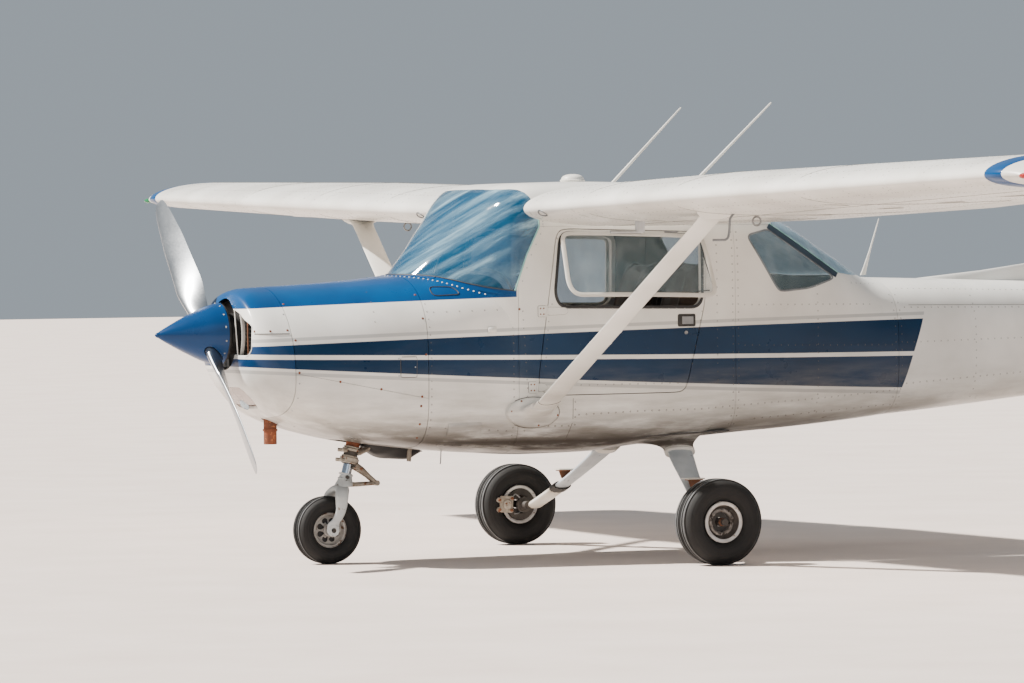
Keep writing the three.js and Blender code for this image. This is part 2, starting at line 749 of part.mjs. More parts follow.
function wingRing(row) {
  const upper = foilSteps.map((step) => wingPoint(row, step, foil(step, 1)));
  const lower = foilSteps.slice(1).reverse().map((step) => wingPoint(row, step, foil(step, -1)));
  return [...upper, ...lower];
}

// The space behind a share of the chord, from one side station to another.
function rearSpaceOf(inner, outer, share) {
  const stations = [inner, ...(inner < wingKink && outer > wingKink ? [wingKink] : []), outer];
  return loft(stations.map((reach) => {
    const row = rowAt(wingRows, reach);
    const corners = [[share, -0.3], [share, 0.3], [1.2, 0.3], [1.2, -0.3]];
    return corners.map(([along, lift]) => wingPoint(row, along, lift));
  }));
}

// Flap or aileron: a nose about its hinge share, then the wing's own sides to the trailing edge.
const surfaceSteps = [0.86, 1];

function wingSurface(inner, outer) {
  const stations = [inner, ...(inner < wingKink && outer > wingKink ? [wingKink] : []), outer];
  return loft(stations.map((reach) => {
    const row = rowAt(wingRows, reach);
    const middle = (foil(hingeShare, 1) + foil(hingeShare, -1)) / 2;
    const radius = (foil(hingeShare, 1) - foil(hingeShare, -1)) / 2;
    const nose = Array.from({ length: 7 }, (_, i) => {
      const angle = Math.PI / 2 + (Math.PI * i) / 6;
      return wingPoint(row, hingeShare + radius * 0.75 * Math.cos(angle), middle + radius * Math.sin(angle));
    });
    const lower = surfaceSteps.map((step) => wingPoint(row, step, foil(step, -1)));
    const upper = surfaceSteps.slice().reverse().map((step) => wingPoint(row, step, foil(step, 1)));
    return [...nose, ...lower, ...upper];
  }));
}

const hingeShare = 0.788;
const wingPanel = loft(wingRows.map((row) => wingRing(row)));
const flapSpace = rearSpaceOf(flapInner - 12, (flapOuter + aileronInner) / 2, rearCut);
const aileronSpace = rearSpaceOf((flapOuter + aileronInner) / 2, aileronOuter + 12, rearCut);
const wingHollow = loft([wingRoot - 1, wingKink, wingEnd - 40].map((place) => {
  const row = rowAt([[0, ...wingRows[0].slice(1)], ...wingRows], place);
  const wall = wingWall / row[3];
  const upper = [0.03, 0.13, 0.28, 0.48, 0.72].map((step) => wingPoint(row, step, foil(step, 1) - wall));
  const lower = [0.72, 0.48, 0.28, 0.13, 0.03].map((step) => wingPoint(row, step, foil(step, -1) + wall));
  return [...upper, ...lower];
}));
const wing = wingPanel.subtract(flapSpace.add(aileronSpace)).subtract(wingHollow);
addPair('wing', wing, 'white');
addPair('flap', wingSurface(flapInner, flapOuter), 'white');
addPair('aileron', wingSurface(aileronInner, aileronOuter), 'white');

// Tip: side beyond the wing's end, nose shift, drop, chord share, thickness share
const tipRows = [
  [touch, 0, 0, 1, 1],
  [110, 12, 0, 0.985, 0.94],
  [210, 40, -4, 0.94, 0.72],
  [280, 92, -12, 0.85, 0.42],
  [wingTip - wingEnd, 150, -22, 0.76, 0.12],
];
const tip = loft(tipRows.map(([beyond, shift, drop, chordShare, thin]) => {
  const [, nose, height, chord, incidence] = wingRows[2];
  const row = [wingEnd + beyond, nose + shift, height + drop, chord * chordShare, incidence];
  const upper = foilSteps.map((step) => wingPoint(row, step, foil(step, 1) * thin));
  const lower = foilSteps.slice(1).reverse().map((step) => wingPoint(row, step, foil(step, -1) * thin));
  return [...upper, ...lower];
}));
addPair('wing_tip', tip, 'white');

// Struts

const strutLow = new THREE.Vector3(845, -600, 728);
const strutHigh = new THREE.Vector3(1036, -2090, 1640);

// share of the way up, chord, thickness
const strutRows = [[-0.03, 112, 42], [0.95, 112, 42], [0.975, 146, 62], [1, 230, 104]];
// The fairing over the strut's foot: station, side, height, half length, half height
const strutCuff = [
  [836, -480, 706, 134, 72],
  [838, -548, 708, 120, 58],
  [842, -580, 716, 84, 36],
  [848, -612, 735, 62, 22],
];
const strutSides = 12;

function strutRing(place) {
  return Array.from({ length: strutSides }, (_, i) => {
    const angle = (2 * Math.PI * i) / strutSides;
    return place(Math.cos(angle), Math.sin(angle));
  });
}

function strutLoft(rows) {
  return loft(rows.map(([share, chord, thickness]) => {
    const centre = strutLow.clone().lerp(strutHigh, share);
    return strutRing((c, s) => {
      const reach = c > 0 ? 0.6 : 0.4;
      const across = (thickness / 2) * s;
      return [centre.x + chord * reach * c, centre.y - across * 0.52, centre.z + across * 0.86];
    });
  }));
}

const [grownCabin, grownNose] = [cabinRows, noseRows].map((rows) => body(rows.map(
  ([x, top, bottom, half, ...rest]) => [x, top, bottom - touch, half + touch, ...rest],
)));
const loweredWing = loft(wingRows.map(([side, nose, height, ...rest]) => (
  wingRing([side, nose, height - touch, ...rest])
)));
const strutFoot = loft(strutCuff.map(([x, y, z, length, height]) => (
  strutRing((c, s) => [x + length * c, y, z + height * s])
)));
let strut = strutLoft(strutRows).add(strutFoot);
strut = largest(strut.subtract(grownCabin).subtract(grownNose).subtract(loweredWing).subtract(wingPanel));
addPair('wing_strut', strut, 'white');

// Main gear: a tapered, bowed spring leg, its cuff under the body, and the stub axle
// station, side, height, chord, thickness
const legRows = [
  [1694, -225, 622, 124, 38],
  [1643, -433, 490, 118, 34],
  [1598, -645, 370, 94, 28],
  [1560, -840, 275, 88, 26],
  [1531, -1030, 196, 84, 26],
];
const cuffRows = [
  [1585, -280, 620, 480, 120],
  [1632, -330, 570, 300, 72],
  [1664, -352, 540, 150, 48],
];

function legLoft(rows) {
  return loft(rows.map(([x, y, z, chord, thickness]) => (
    Array.from({ length: 10 }, (_, i) => {
      const angle = (2 * Math.PI * i) / 10;
      const along = (chord / 2) * Math.cos(angle);
      const across = (thickness / 2) * Math.sin(angle);
      return [x + along * 0.97, y - along * 0.25 - across * 0.45, z + across * 0.89];
    })
  )));
}

const onMainAxle = (side) => [mainAxle.station, side, mainAxle.height];
const axle = bar(onMainAxle(-1000), onMainAxle(-1232), 19);
const axlePlate = bar(onMainAxle(-1042), onMainAxle(-1064), 62, 62, 16);
const leg = union(legLoft(legRows), legLoft(cuffRows), axle, axlePlate);
addPair('main_gear_leg', largest(leg.subtract(grownCabin)), 'white');

// Tyre profile about its own centre plane: share of the half width, share of the way from rim to tread
const tyreProfile = [[0.62, 0], [0.96, 0.34], [0.98, 0.62], [0.78, 0.88], [0.36, 1]];

function tyre({ radius, width, rim }, centre) {
  const half = tyreProfile.map(([across, up]) => [(across * width) / 2, rim + up * (radius - rim)]);
  const other = half.slice().reverse().map(([across, up]) => [-across, up]);
  const profile = [...half, ...other];
  return turned([...profile, profile[0]], centre, [0, 1, 0], 30);
}

function wheelRim({ width, rim }, boreRadius, centre) {
  const outer = rim - 1;
  const half = width * 0.31;
  const profile = [
    [-half, outer], [-half * 0.4, outer - 22], [-half * 0.5, boreRadius + 20], [-half, boreRadius],
    [half, boreRadius], [half * 0.5, boreRadius + 20], [half * 0.4, outer - 22], [half, outer],
  ];
  return turned([...profile, profile[0]], centre, [0, 1, 0], 20);
}

const mainCentre = onMainAxle(-mainAxle.side);
addPair('main_tyre', tyre(mainTyre, mainCentre), 'tyre');
addPair('main_rim', wheelRim(mainTyre, 21, mainCentre), 'silver');

// Nose gear: the strut's line leans forward towards the ground

const legDirection = new THREE.Vector3(-0.25, 0, -0.968).normalize();
const noseKnee = new THREE.Vector3(126, 0, 500);

function downLeg(distance, aft = 0, side = 0) {
  const point = noseKnee.clone().addScaledVector(legDirection, distance);
  return [point.x + aft, side, point.z];
}

const oleo = union(
  bar(downLeg(-260), downLeg(30), 34),
  bar(downLeg(-20), downLeg(28), 44, 44),
  box(180, firewall - touch, -60, 60, 640, 700),
);
addPart('nose_strut', oleo, 'steel');

// The fork: a crown over the tyre and a curved arm down each side to the axle
const forkSide = noseTyre.width / 2 + 14;
const forkArm = [
  [20, 318], [84, 318], [81, 296], [67, 250], [42, 190], [34, 160],
  [22, 140], [6, 134], [-12, 142], [-18, 162], [4, 214], [20, 276],
];
const crownInner = [[67, 314], [64, 334], [50, 348], [28, 354], [0, 354]];
const crownOuter = [[0, 386], [36, 384], [66, 366], [82, 342], [85, 314]];
const crownArch = frontPlate([...crownInner, ...crownOuter], 20, 84);
let fork = bar(downLeg(33), downLeg(140), 24);
fork = union(fork, crownArch, mirrored(crownArch), box(60, 114, -40, 40, 354, 385));
[-1, 1].forEach((side) => {
  fork = fork.add(sidePlate(forkArm, side * forkSide - 9, side * forkSide + 9));
});
const upperLink = [[160, 470], [182, 452], [258, 388], [240, 378], [130, 440]];
const lowerLink = [[258, 388], [242, 398], [96, 392], [96, 366], [246, 376]];
const onNoseAxle = (side) => [noseAxle.station, side, noseAxle.height];
const forkPin = bar(onNoseAxle(-forkSide - 14), onNoseAxle(forkSide + 14), 14);
fork = union(fork, sidePlate(upperLink, -26, 26), sidePlate(lowerLink, -22, 22), forkPin);
addPart('nose_fork', fork.subtract(bar(downLeg(-300), downLeg(32), 46)), 'steel');

const noseCentre = onNoseAxle(0);
addPart('nose_tyre', tyre(noseTyre, noseCentre), 'tyre');
addPart('nose_rim', wheelRim(noseTyre, 16, noseCentre), 'silver');

// Aerials and probe

const whipFoot = [1680, -470, 1748];
const whipEnd = [2108, -500, 2156];
addPair('aerial', largest(bar(whipFoot, whipEnd, 8, 4, 8).subtract(cabinSolid)), 'white');
addPart('rear_aerial', largest(bar([2842, 0, 1316], [2936, 0, 1602], 9, 3, 8).subtract(tailRaised)), 'white');
const domeProfile = [[0, 0], [0, 60], [18, 60], [34, 40], [38, 0]];
addPart('roof_dome', turned(domeProfile, [1292, 0, 1787.5], [0, 0, 1], 12), 'white');

const probeSide = -1150;
let probe = bar([955, probeSide, 1545], [1120, probeSide, 1545], 9, 9, 8);
const probeMast = [[1084, 1540], [1128, 1540], [1136, 1640], [1086, 1640]];
probe = probe.add(sidePlate(probeMast, probeSide - 8, probeSide + 8));
addPart('air_probe', largest(probe.subtract(loweredWing).subtract(wingPanel)), 'silver');

export default aircraft;
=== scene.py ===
import bmesh
import bpy
import json
import math
import numpy as np
from mathutils import Matrix, Vector

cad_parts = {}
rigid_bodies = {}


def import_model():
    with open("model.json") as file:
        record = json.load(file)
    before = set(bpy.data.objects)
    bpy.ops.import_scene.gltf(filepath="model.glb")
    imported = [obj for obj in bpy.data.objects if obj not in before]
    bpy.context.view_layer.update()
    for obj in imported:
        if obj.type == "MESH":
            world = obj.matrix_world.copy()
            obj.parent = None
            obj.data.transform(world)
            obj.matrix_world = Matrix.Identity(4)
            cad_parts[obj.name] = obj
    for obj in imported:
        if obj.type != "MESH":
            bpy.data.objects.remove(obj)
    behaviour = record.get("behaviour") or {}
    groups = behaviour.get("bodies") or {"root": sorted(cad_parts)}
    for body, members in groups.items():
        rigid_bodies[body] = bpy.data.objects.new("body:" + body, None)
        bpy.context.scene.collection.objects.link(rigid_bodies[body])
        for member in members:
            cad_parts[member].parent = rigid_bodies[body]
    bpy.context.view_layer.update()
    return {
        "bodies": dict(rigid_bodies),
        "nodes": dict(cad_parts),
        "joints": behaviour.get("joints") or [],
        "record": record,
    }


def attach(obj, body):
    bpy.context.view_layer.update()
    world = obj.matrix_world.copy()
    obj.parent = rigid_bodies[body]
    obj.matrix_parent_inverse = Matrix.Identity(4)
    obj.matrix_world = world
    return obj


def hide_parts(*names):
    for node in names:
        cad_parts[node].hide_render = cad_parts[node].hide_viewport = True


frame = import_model()

# All tables are in millimetres: stations aft of the nose wheel's contact, side (port is negative), height.
# originStation is the station of the frame's origin, and bothTags pairs each side's sign with its word.
originStation = 2824.0
bothTags = ((-1, "left"), (1, "right"))
print("stage: frame loaded")

# Camera at the photograph's place, in metres of the frame; focal is in pixels of a 1024 wide picture
viewer = {"place": (-13.563, -26.466, 1.516), "yaw": 23.859, "pitch": -0.962, "roll": -0.5886, "focal": 6077.8}


def makeCamera():
    yaw, pitch, roll = (math.radians(viewer[k]) for k in ("yaw", "pitch", "roll"))
    ahead = Vector((math.sin(yaw) * math.cos(pitch), math.cos(yaw) * math.cos(pitch), math.sin(pitch)))
    right = Vector((math.cos(yaw), -math.sin(yaw), 0))
    up = right.cross(ahead)
    turnedRight = right * math.cos(roll) + up * math.sin(roll)
    turnedUp = up * math.cos(roll) - right * math.sin(roll)
    data = bpy.data.cameras.new("camera")
    data.sensor_width = 36
    data.lens = 36 * viewer["focal"] / 1024
    data.clip_start, data.clip_end = 1, 400
    camera = bpy.data.objects.new("camera", data)
    bpy.context.scene.collection.objects.link(camera)
    columns = [turnedRight, turnedUp, -ahead, Vector(viewer["place"])]
    camera.matrix_world = Matrix([[*(c[row] for c in columns)] for row in range(3)] + [[0, 0, 0, 1]])
    bpy.context.scene.camera = camera


makeCamera()

# Materials


# Linear colour from a hex code
def toLinear(code):
    shares = np.array([int(code[i:i + 2], 16) / 255 for i in (1, 3, 5)])
    linear = np.where(shares <= 0.04045, shares / 12.92, ((shares + 0.055) / 1.055) ** 2.4)
    return (*(float(v) for v in linear), 1.0)


# Adds a node with its settings, its inputs by place or name and a ramp's stops, and gives its outputs
def addNode(tree, kind, inputs=(), stops=None, **settings):
    node = tree.nodes.new("ShaderNode" + kind)
    for key, value in settings.items():
        setattr(node, key, value)
    if stops:
        ramp = node.color_ramp
        while len(ramp.elements) < len(stops):
            ramp.elements.new(0.5)
        for element, (place, color) in zip(ramp.elements, stops):
            element.position = place
            element.color = toLinear(color) if isinstance(color, str) else (color, color, color, 1)
    for key, value in inputs.items() if isinstance(inputs, dict) else enumerate(inputs):
        if isinstance(value, bpy.types.NodeSocket):
            tree.links.new(value, node.inputs[key])
        else:
            node.inputs[key].default_value = value
    return node.outputs


# A new material, the function that adds to its tree, its shader, and the object's own coordinates
def startMaterial(name, **constants):
    made = bpy.data.materials.new(name)
    made.use_nodes = True
    shader = made.node_tree.nodes["Principled BSDF"]
    for key, value in constants.items():
        shader.inputs[key.replace("_", " ")].default_value = value

    def add(kind, inputs=(), stops=None, **settings):
        return addNode(made.node_tree, kind, inputs, stops, **settings)

    return made, add, shader, add("TexCoord")["Object"]


# Links outputs to the shader's inputs, which are named with _ for each space
def feed(shader, **sockets):
    for key, value in sockets.items():
        shader.id_data.links.new(value, shader.inputs[key.replace("_", " ")])


# Stripes along the body: station and height of each line's edge on the side of the body.
# Lines that the paint follows in X and Z of the frame are parabolas fitted to these.
stripes = {
    "upperTop": [(-510, 1034), (310, 1053), (890, 1077), (1930, 1098), (2910, 1112)],
    "upperBottom": [(-510, 998), (310, 979), (890, 974), (1930, 965), (2910, 955)],
    "lowerTop": [(-510, 975), (310, 960), (890, 953), (1930, 944), (2910, 935)],
    "lowerBottom": [(-510, 938), (310, 891), (890, 866), (1930, 813), (2790, 785)],
    "blueEdge": [(-500, 1206), (-316, 1214), (66, 1227), (353, 1233), (510, 1241), (750, 1247)],
    "greyAbove": 0.017, "greyBelow": 0.014, "greyWidth": 0.016, "greyShare": 0.75, "softEdge": 0.0012,
    "rearFoot": (2856, 782), "rearHead": (2979, 1111), "blueEnd": 762,
}
# The last two colours make the body darker towards the bottom; the first of them also colours fine specks
paintLook = {
    "white": "#e4e3dd", "whiteShade": "#cfcdc6", "navy": "#022440", "navyShade": "#052a48", "capBlue": "#00325f",
    "blue": "#003868", "blueShade": "#04467a", "grey": "#a9aaa8", "lowDarkeningAndSpecks": "#8c867b", "lowDarkBand": "#2b241e",
}
# Heights in metres between which the brownish film and the dark band grow to their full share as the height falls,
# and the share of each
lowDarkeningLook = {"film": (0.94, 0.58, 0.85), "lowDarkBand": (0.71, 0.57, 0.92), "specks": 0.22}


# Height of a paint line over stations
def lineHeight(add, x, name, offset=0.0):
    table = np.array(stripes[name], float)
    bend, slope, level = (float(v) for v in np.polyfit((table[:, 0] - originStation) / 1000, table[:, 1] / 1000, 2))
    inner = add("Math", (x, bend, slope), operation="MULTIPLY_ADD")[0]
    return add("Math", (x, inner, level + offset), operation="MULTIPLY_ADD")[0]


# 1 where the first value is over the second and 0 where it is under, with a soft edge
def overMask(add, first, second):
    gap = add("Math", (first, second), operation="SUBTRACT")[0]
    limits = {"Value": gap, "From Min": -stripes["softEdge"], "From Max": stripes["softEdge"]}
    return add("MapRange", limits, interpolation_type="SMOOTHSTEP")[0]


def bandMask(add, x, z, lower, lowerOffset, upper, upperOffset):
    above = overMask(add, z, lineHeight(add, x, lower, lowerOffset))
    below = overMask(add, lineHeight(add, x, upper, upperOffset), z)
    return add("Math", (above, below), operation="MULTIPLY")[0]


# Colour with another laid over it by a mask and a share
def laidOver(add, mask, share, color, over):
    amount = add("Math", (mask, share), operation="MULTIPLY")[0]
    return add("Mix", {0: amount, 6: color, 7: over}, data_type="RGBA")[2]


def stripedColor(add, x, z, color, cloud, bandColor):
    foot, head = (np.array(stripes[k]) / 1000 for k in ("rearFoot", "rearHead"))
    lean = float((head[0] - foot[0]) / (head[1] - foot[1]))
    line = (z, lean, float(foot[0] - foot[1] * lean) - originStation / 1000)
    ahead = overMask(add, add("Math", line, operation="MULTIPLY_ADD")[0], x)
    above, below, width = stripes["greyAbove"], stripes["greyBelow"], stripes["greyWidth"]
    greys = add("Math", (
        bandMask(add, x, z, "upperTop", above, "upperTop", above + width),
        bandMask(add, x, z, "lowerBottom", -below - width, "lowerBottom", -below)), operation="ADD")[0]
    greys = add("Math", (greys, ahead), operation="MULTIPLY")[0]
    color = laidOver(add, greys, stripes["greyShare"], color, toLinear(paintLook["grey"]))
    bands = add("Math", (
        bandMask(add, x, z, "upperBottom", 0.0, "upperTop", 0.0),
        bandMask(add, x, z, "lowerBottom", 0.0, "lowerTop", 0.0)), operation="ADD")[0]
    navy = (toLinear(paintLook[k]) for k in (bandColor, "navyShade"))
    navy = add("Mix", dict(zip((0, 6, 7), (cloud, *navy))), data_type="RGBA")[2]
    return laidOver(add, bands, ahead, color, navy)


# Colour made darker towards the bottom: a brownish film and a dark band grow as the height falls, broken by noise
# stretched along the body, with fine brownish specks everywhere
def darkenLowAndSpeckle(add, place, z, color):
    flow = add("Mapping", {"Vector": place, "Scale": (1.4, 5, 9)})[0]
    runs = add("TexNoise", {"Vector": flow, "Scale": 2.2, "Detail": 6, "Roughness": 0.62})[0]
    for kind, tone, stops in (
            ("film", "lowDarkeningAndSpecks", [(0.34, 0.0), (0.7, 1.0)]), ("lowDarkBand", "lowDarkBand", [(0.18, 0.25), (0.5, 1.0)])):
        high, low, share = lowDarkeningLook[kind]
        reach = add("MapRange", {"Value": z, "From Min": high, "From Max": low})[0]
        mask = add("Math", (reach, add("ValToRGB", {0: runs}, stops=stops)[0]), operation="MULTIPLY")[0]
        color = laidOver(add, mask, share, color, toLinear(paintLook[tone]))
    dots = add("TexNoise", {"Vector": place, "Scale": 150, "Detail": 2, "Roughness": 0.55})[0]
    specks = add("ValToRGB", {0: dots}, stops=[(0.72, 0.0), (0.8, 1.0)])[0]
    return laidOver(add, specks, lowDarkeningLook["specks"], color, toLinear(paintLook["lowDarkeningAndSpecks"]))


# Gloss enamel over aluminium sheet: slightly uneven skin, chalky patches, and a colour that grows darker towards the
# bottom in streaks that run aft
def enamel(name, blueTop=False, striped=False, bandColor="navy", base="white", shade="whiteShade", lowDarkeningAndSpecks=True):
    made, add, shader, place = startMaterial(
        name, Roughness=0.3, Coat_Weight=0.1, Coat_Roughness=0.05, Specular_IOR_Level=0.22)
    x, _, z = add("SeparateXYZ", {0: place})
    cloud, wear, waves, grain = (
        add("TexNoise", {"Vector": place, "Scale": scale, "Detail": detail, "Roughness": 0.55})[0]
        for scale, detail in ((2.4, 3), (9, 5), (5.5, 2), (700, 2)))
    share = add("ValToRGB", {0: cloud}, stops=[(0.35, 0.0), (0.7, 1.0)])[0]
    tones = {0: share, 6: toLinear(paintLook[base]), 7: toLinear(paintLook[shade])}
    color = add("Mix", tones, data_type="RGBA")[2]
    if striped:
        color = stripedColor(add, x, z, color, share, bandColor)
    if blueTop:
        over = overMask(add, z, lineHeight(add, x, "blueEdge"))
        front = overMask(add, (stripes["blueEnd"] - originStation) / 1000, x)
        tones = {0: share, 6: toLinear(paintLook["blue"]), 7: toLinear(paintLook["blueShade"])}
        color = laidOver(add, over, front, color, add("Mix", tones, data_type="RGBA")[2])
    # Darker towards the bottom, with fine specks
    if lowDarkeningAndSpecks:
        color = darkenLowAndSpeckle(add, place, z, color)
    bump = add("Bump", {"Height": waves, "Strength": 0.25, "Distance": 0.004})[0]
    bump = add("Bump", {"Height": grain, "Strength": 0.08, "Distance": 0.0004, "Normal": bump})[0]
    rough = add("MapRange", {"Value": wear, "To Min": 0.2, "To Max": 0.42})[0]
    feed(shader, Base_Color=color, Roughness=rough, Normal=bump)
    return made


# Metal with a worn surface: colour drifts between two tones, fine scratches, spots where paint or plating is lost
def wornMetal(name, light, dark, rough=0.35, metallic=1.0, grain=(40, 40, 40), patch=6.0, spots=None):
    made, add, shader, place = startMaterial(name, Metallic=metallic, Roughness=rough)
    drift = add("TexNoise", {"Vector": place, "Scale": patch, "Detail": 5, "Roughness": 0.55})[0]
    color = add("ValToRGB", {0: drift}, stops=[(0.32, light), (0.72, dark)])[0]
    if spots:
        tone, size, start = spots
        chips = add("TexNoise", {"Vector": place, "Scale": size, "Detail": 4, "Roughness": 0.55})[0]
        chips = add("ValToRGB", {0: chips}, stops=[(start, 0.0), (start + 0.05, 1.0)])[0]
        color = add("Mix", {0: chips, 6: color, 7: toLinear(tone)}, data_type="RGBA")[2]
    lines = add("Mapping", {"Vector": place, "Scale": grain})[0]
    fine = add("TexNoise", {"Vector": lines, "Scale": 8, "Detail": 4, "Roughness": 0.55})[0]
    worn = add("MapRange", {"Value": fine, "To Min": rough - 0.08, "To Max": rough + 0.14})[0]
    bump = add("Bump", {"Height": fine, "Strength": 0.12, "Distance": 0.0006})[0]
    feed(shader, Base_Color=color, Roughness=worn, Normal=bump)
    return made


# Matt or satin non-metal: rubber, plastic, cloth and glass-fibre, by colour pair, roughness and grain size in mm
def dullSurface(name, light, dark, rough=0.6, grain=2.0, depth=0.3, patch=5.0, weave=0.0, sheen=0.0, dust=None):
    made, add, shader, place = startMaterial(name, Roughness=rough, Sheen_Weight=sheen)
    drift = add("TexNoise", {"Vector": place, "Scale": patch, "Detail": 4, "Roughness": 0.55})[0]
    color = add("ValToRGB", {0: drift}, stops=[(0.35, light), (0.68, dark)])[0]
    if dust:
        film = add("TexNoise", {"Vector": place, "Scale": patch * 3, "Detail": 6, "Roughness": 0.55})[0]
        film = add("ValToRGB", {0: film}, stops=[(0.45, 0.0), (0.8, 1.0)])[0]
        color = laidOver(add, film, dust[1], color, toLinear(dust[0]))
    fine = add("TexNoise", {"Vector": place, "Scale": 1000 / grain, "Detail": 3, "Roughness": 0.55})[0]
    bump = add("Bump", {"Height": fine, "Strength": depth, "Distance": 0.0004})[0]
    if weave:
        waves = []
        for axis in list(add("SeparateXYZ", {0: place}))[::2]:
            turns = add("Math", (axis, 2000 * math.pi / weave), operation="MULTIPLY")[0]
            waves.append(add("Math", (turns,), operation="SINE")[0])
        threads = add("Math", waves, operation="ADD")[0]
        bump = add("Bump", {"Height": threads, "Strength": 0.35, "Distance": 0.0005, "Normal": bump})[0]
    feed(shader, Base_Color=color, Normal=bump)
    return made


# Directions of the pale streaks in the pane, a painted reflection of the sky, each with the scale of the noise along
# it: long one way, fine across
skyReflectionStreakAxes = (((0.543, -0.698, 0.466), 0.7), ((0.789, 0.614, 0.0), 5.0), ((-0.286, 0.368, 0.885), 11.0))


# Clear acrylic sheet with a tint: a dust film clouds it a little, or pale streaks of painted sky reflection stand on
# its upper part
def acrylic(name, tint, clear=0.82, haze="#dfe6e8", skyReflectionStreaks=0.0):
    made, add, shader, place = startMaterial(name, Roughness=0.04, IOR=1.49)
    if skyReflectionStreaks:
        leans = []
        for axis, scale in skyReflectionStreakAxes:
            lean = add("VectorMath", (place, axis), operation="DOT_PRODUCT")["Value"]
            leans.append(add("Math", (lean, scale), operation="MULTIPLY")[0])
        lines = {"Vector": add("CombineXYZ", leans)[0], "Scale": 1.3, "Detail": 6, "Roughness": 0.6}
        marks = add("ValToRGB", {0: add("TexNoise", lines)[0]}, stops=[(0.42, 0.0), (0.56, 0.35), (0.66, 0.9)])[0]
        height = add("SeparateXYZ", {0: place})[2]
        high = add("MapRange", {"Value": height, "From Min": 1.27, "From Max": 1.42, "To Min": 0.2})[0]
        marks = add("Math", (marks, skyReflectionStreaks), operation="MULTIPLY")[0]
        share = add("Math", (marks, high), operation="MULTIPLY")[0]
        base = add("MapRange", {"Value": high, "From Min": 0.2, "To Min": 0.3, "To Max": 1 - clear})[0]
        alpha = add("Math", (share, 0.4, base), operation="MULTIPLY_ADD")[0]
    else:
        wide = add("Mapping", {"Vector": place, "Scale": (3, 3, 1)})[0]
        film = add("TexNoise", {"Vector": wide, "Scale": 7, "Detail": 6, "Roughness": 0.55})[0]
        film = add("ValToRGB", {0: film}, stops=[(0.4, 0.0), (0.85, 1.0)])[0]
        share = add("Math", (film, 0.35), operation="MULTIPLY")[0]
        alpha = add("MapRange", {"Value": film, "To Min": 1 - clear, "To Max": 1.12 - clear})[0]
    color = add("Mix", {0: share, 6: toLinear(tint), 7: toLinear(haze)}, data_type="RGBA")[2]
    feed(shader, Base_Color=color, Alpha=alpha)
    return made


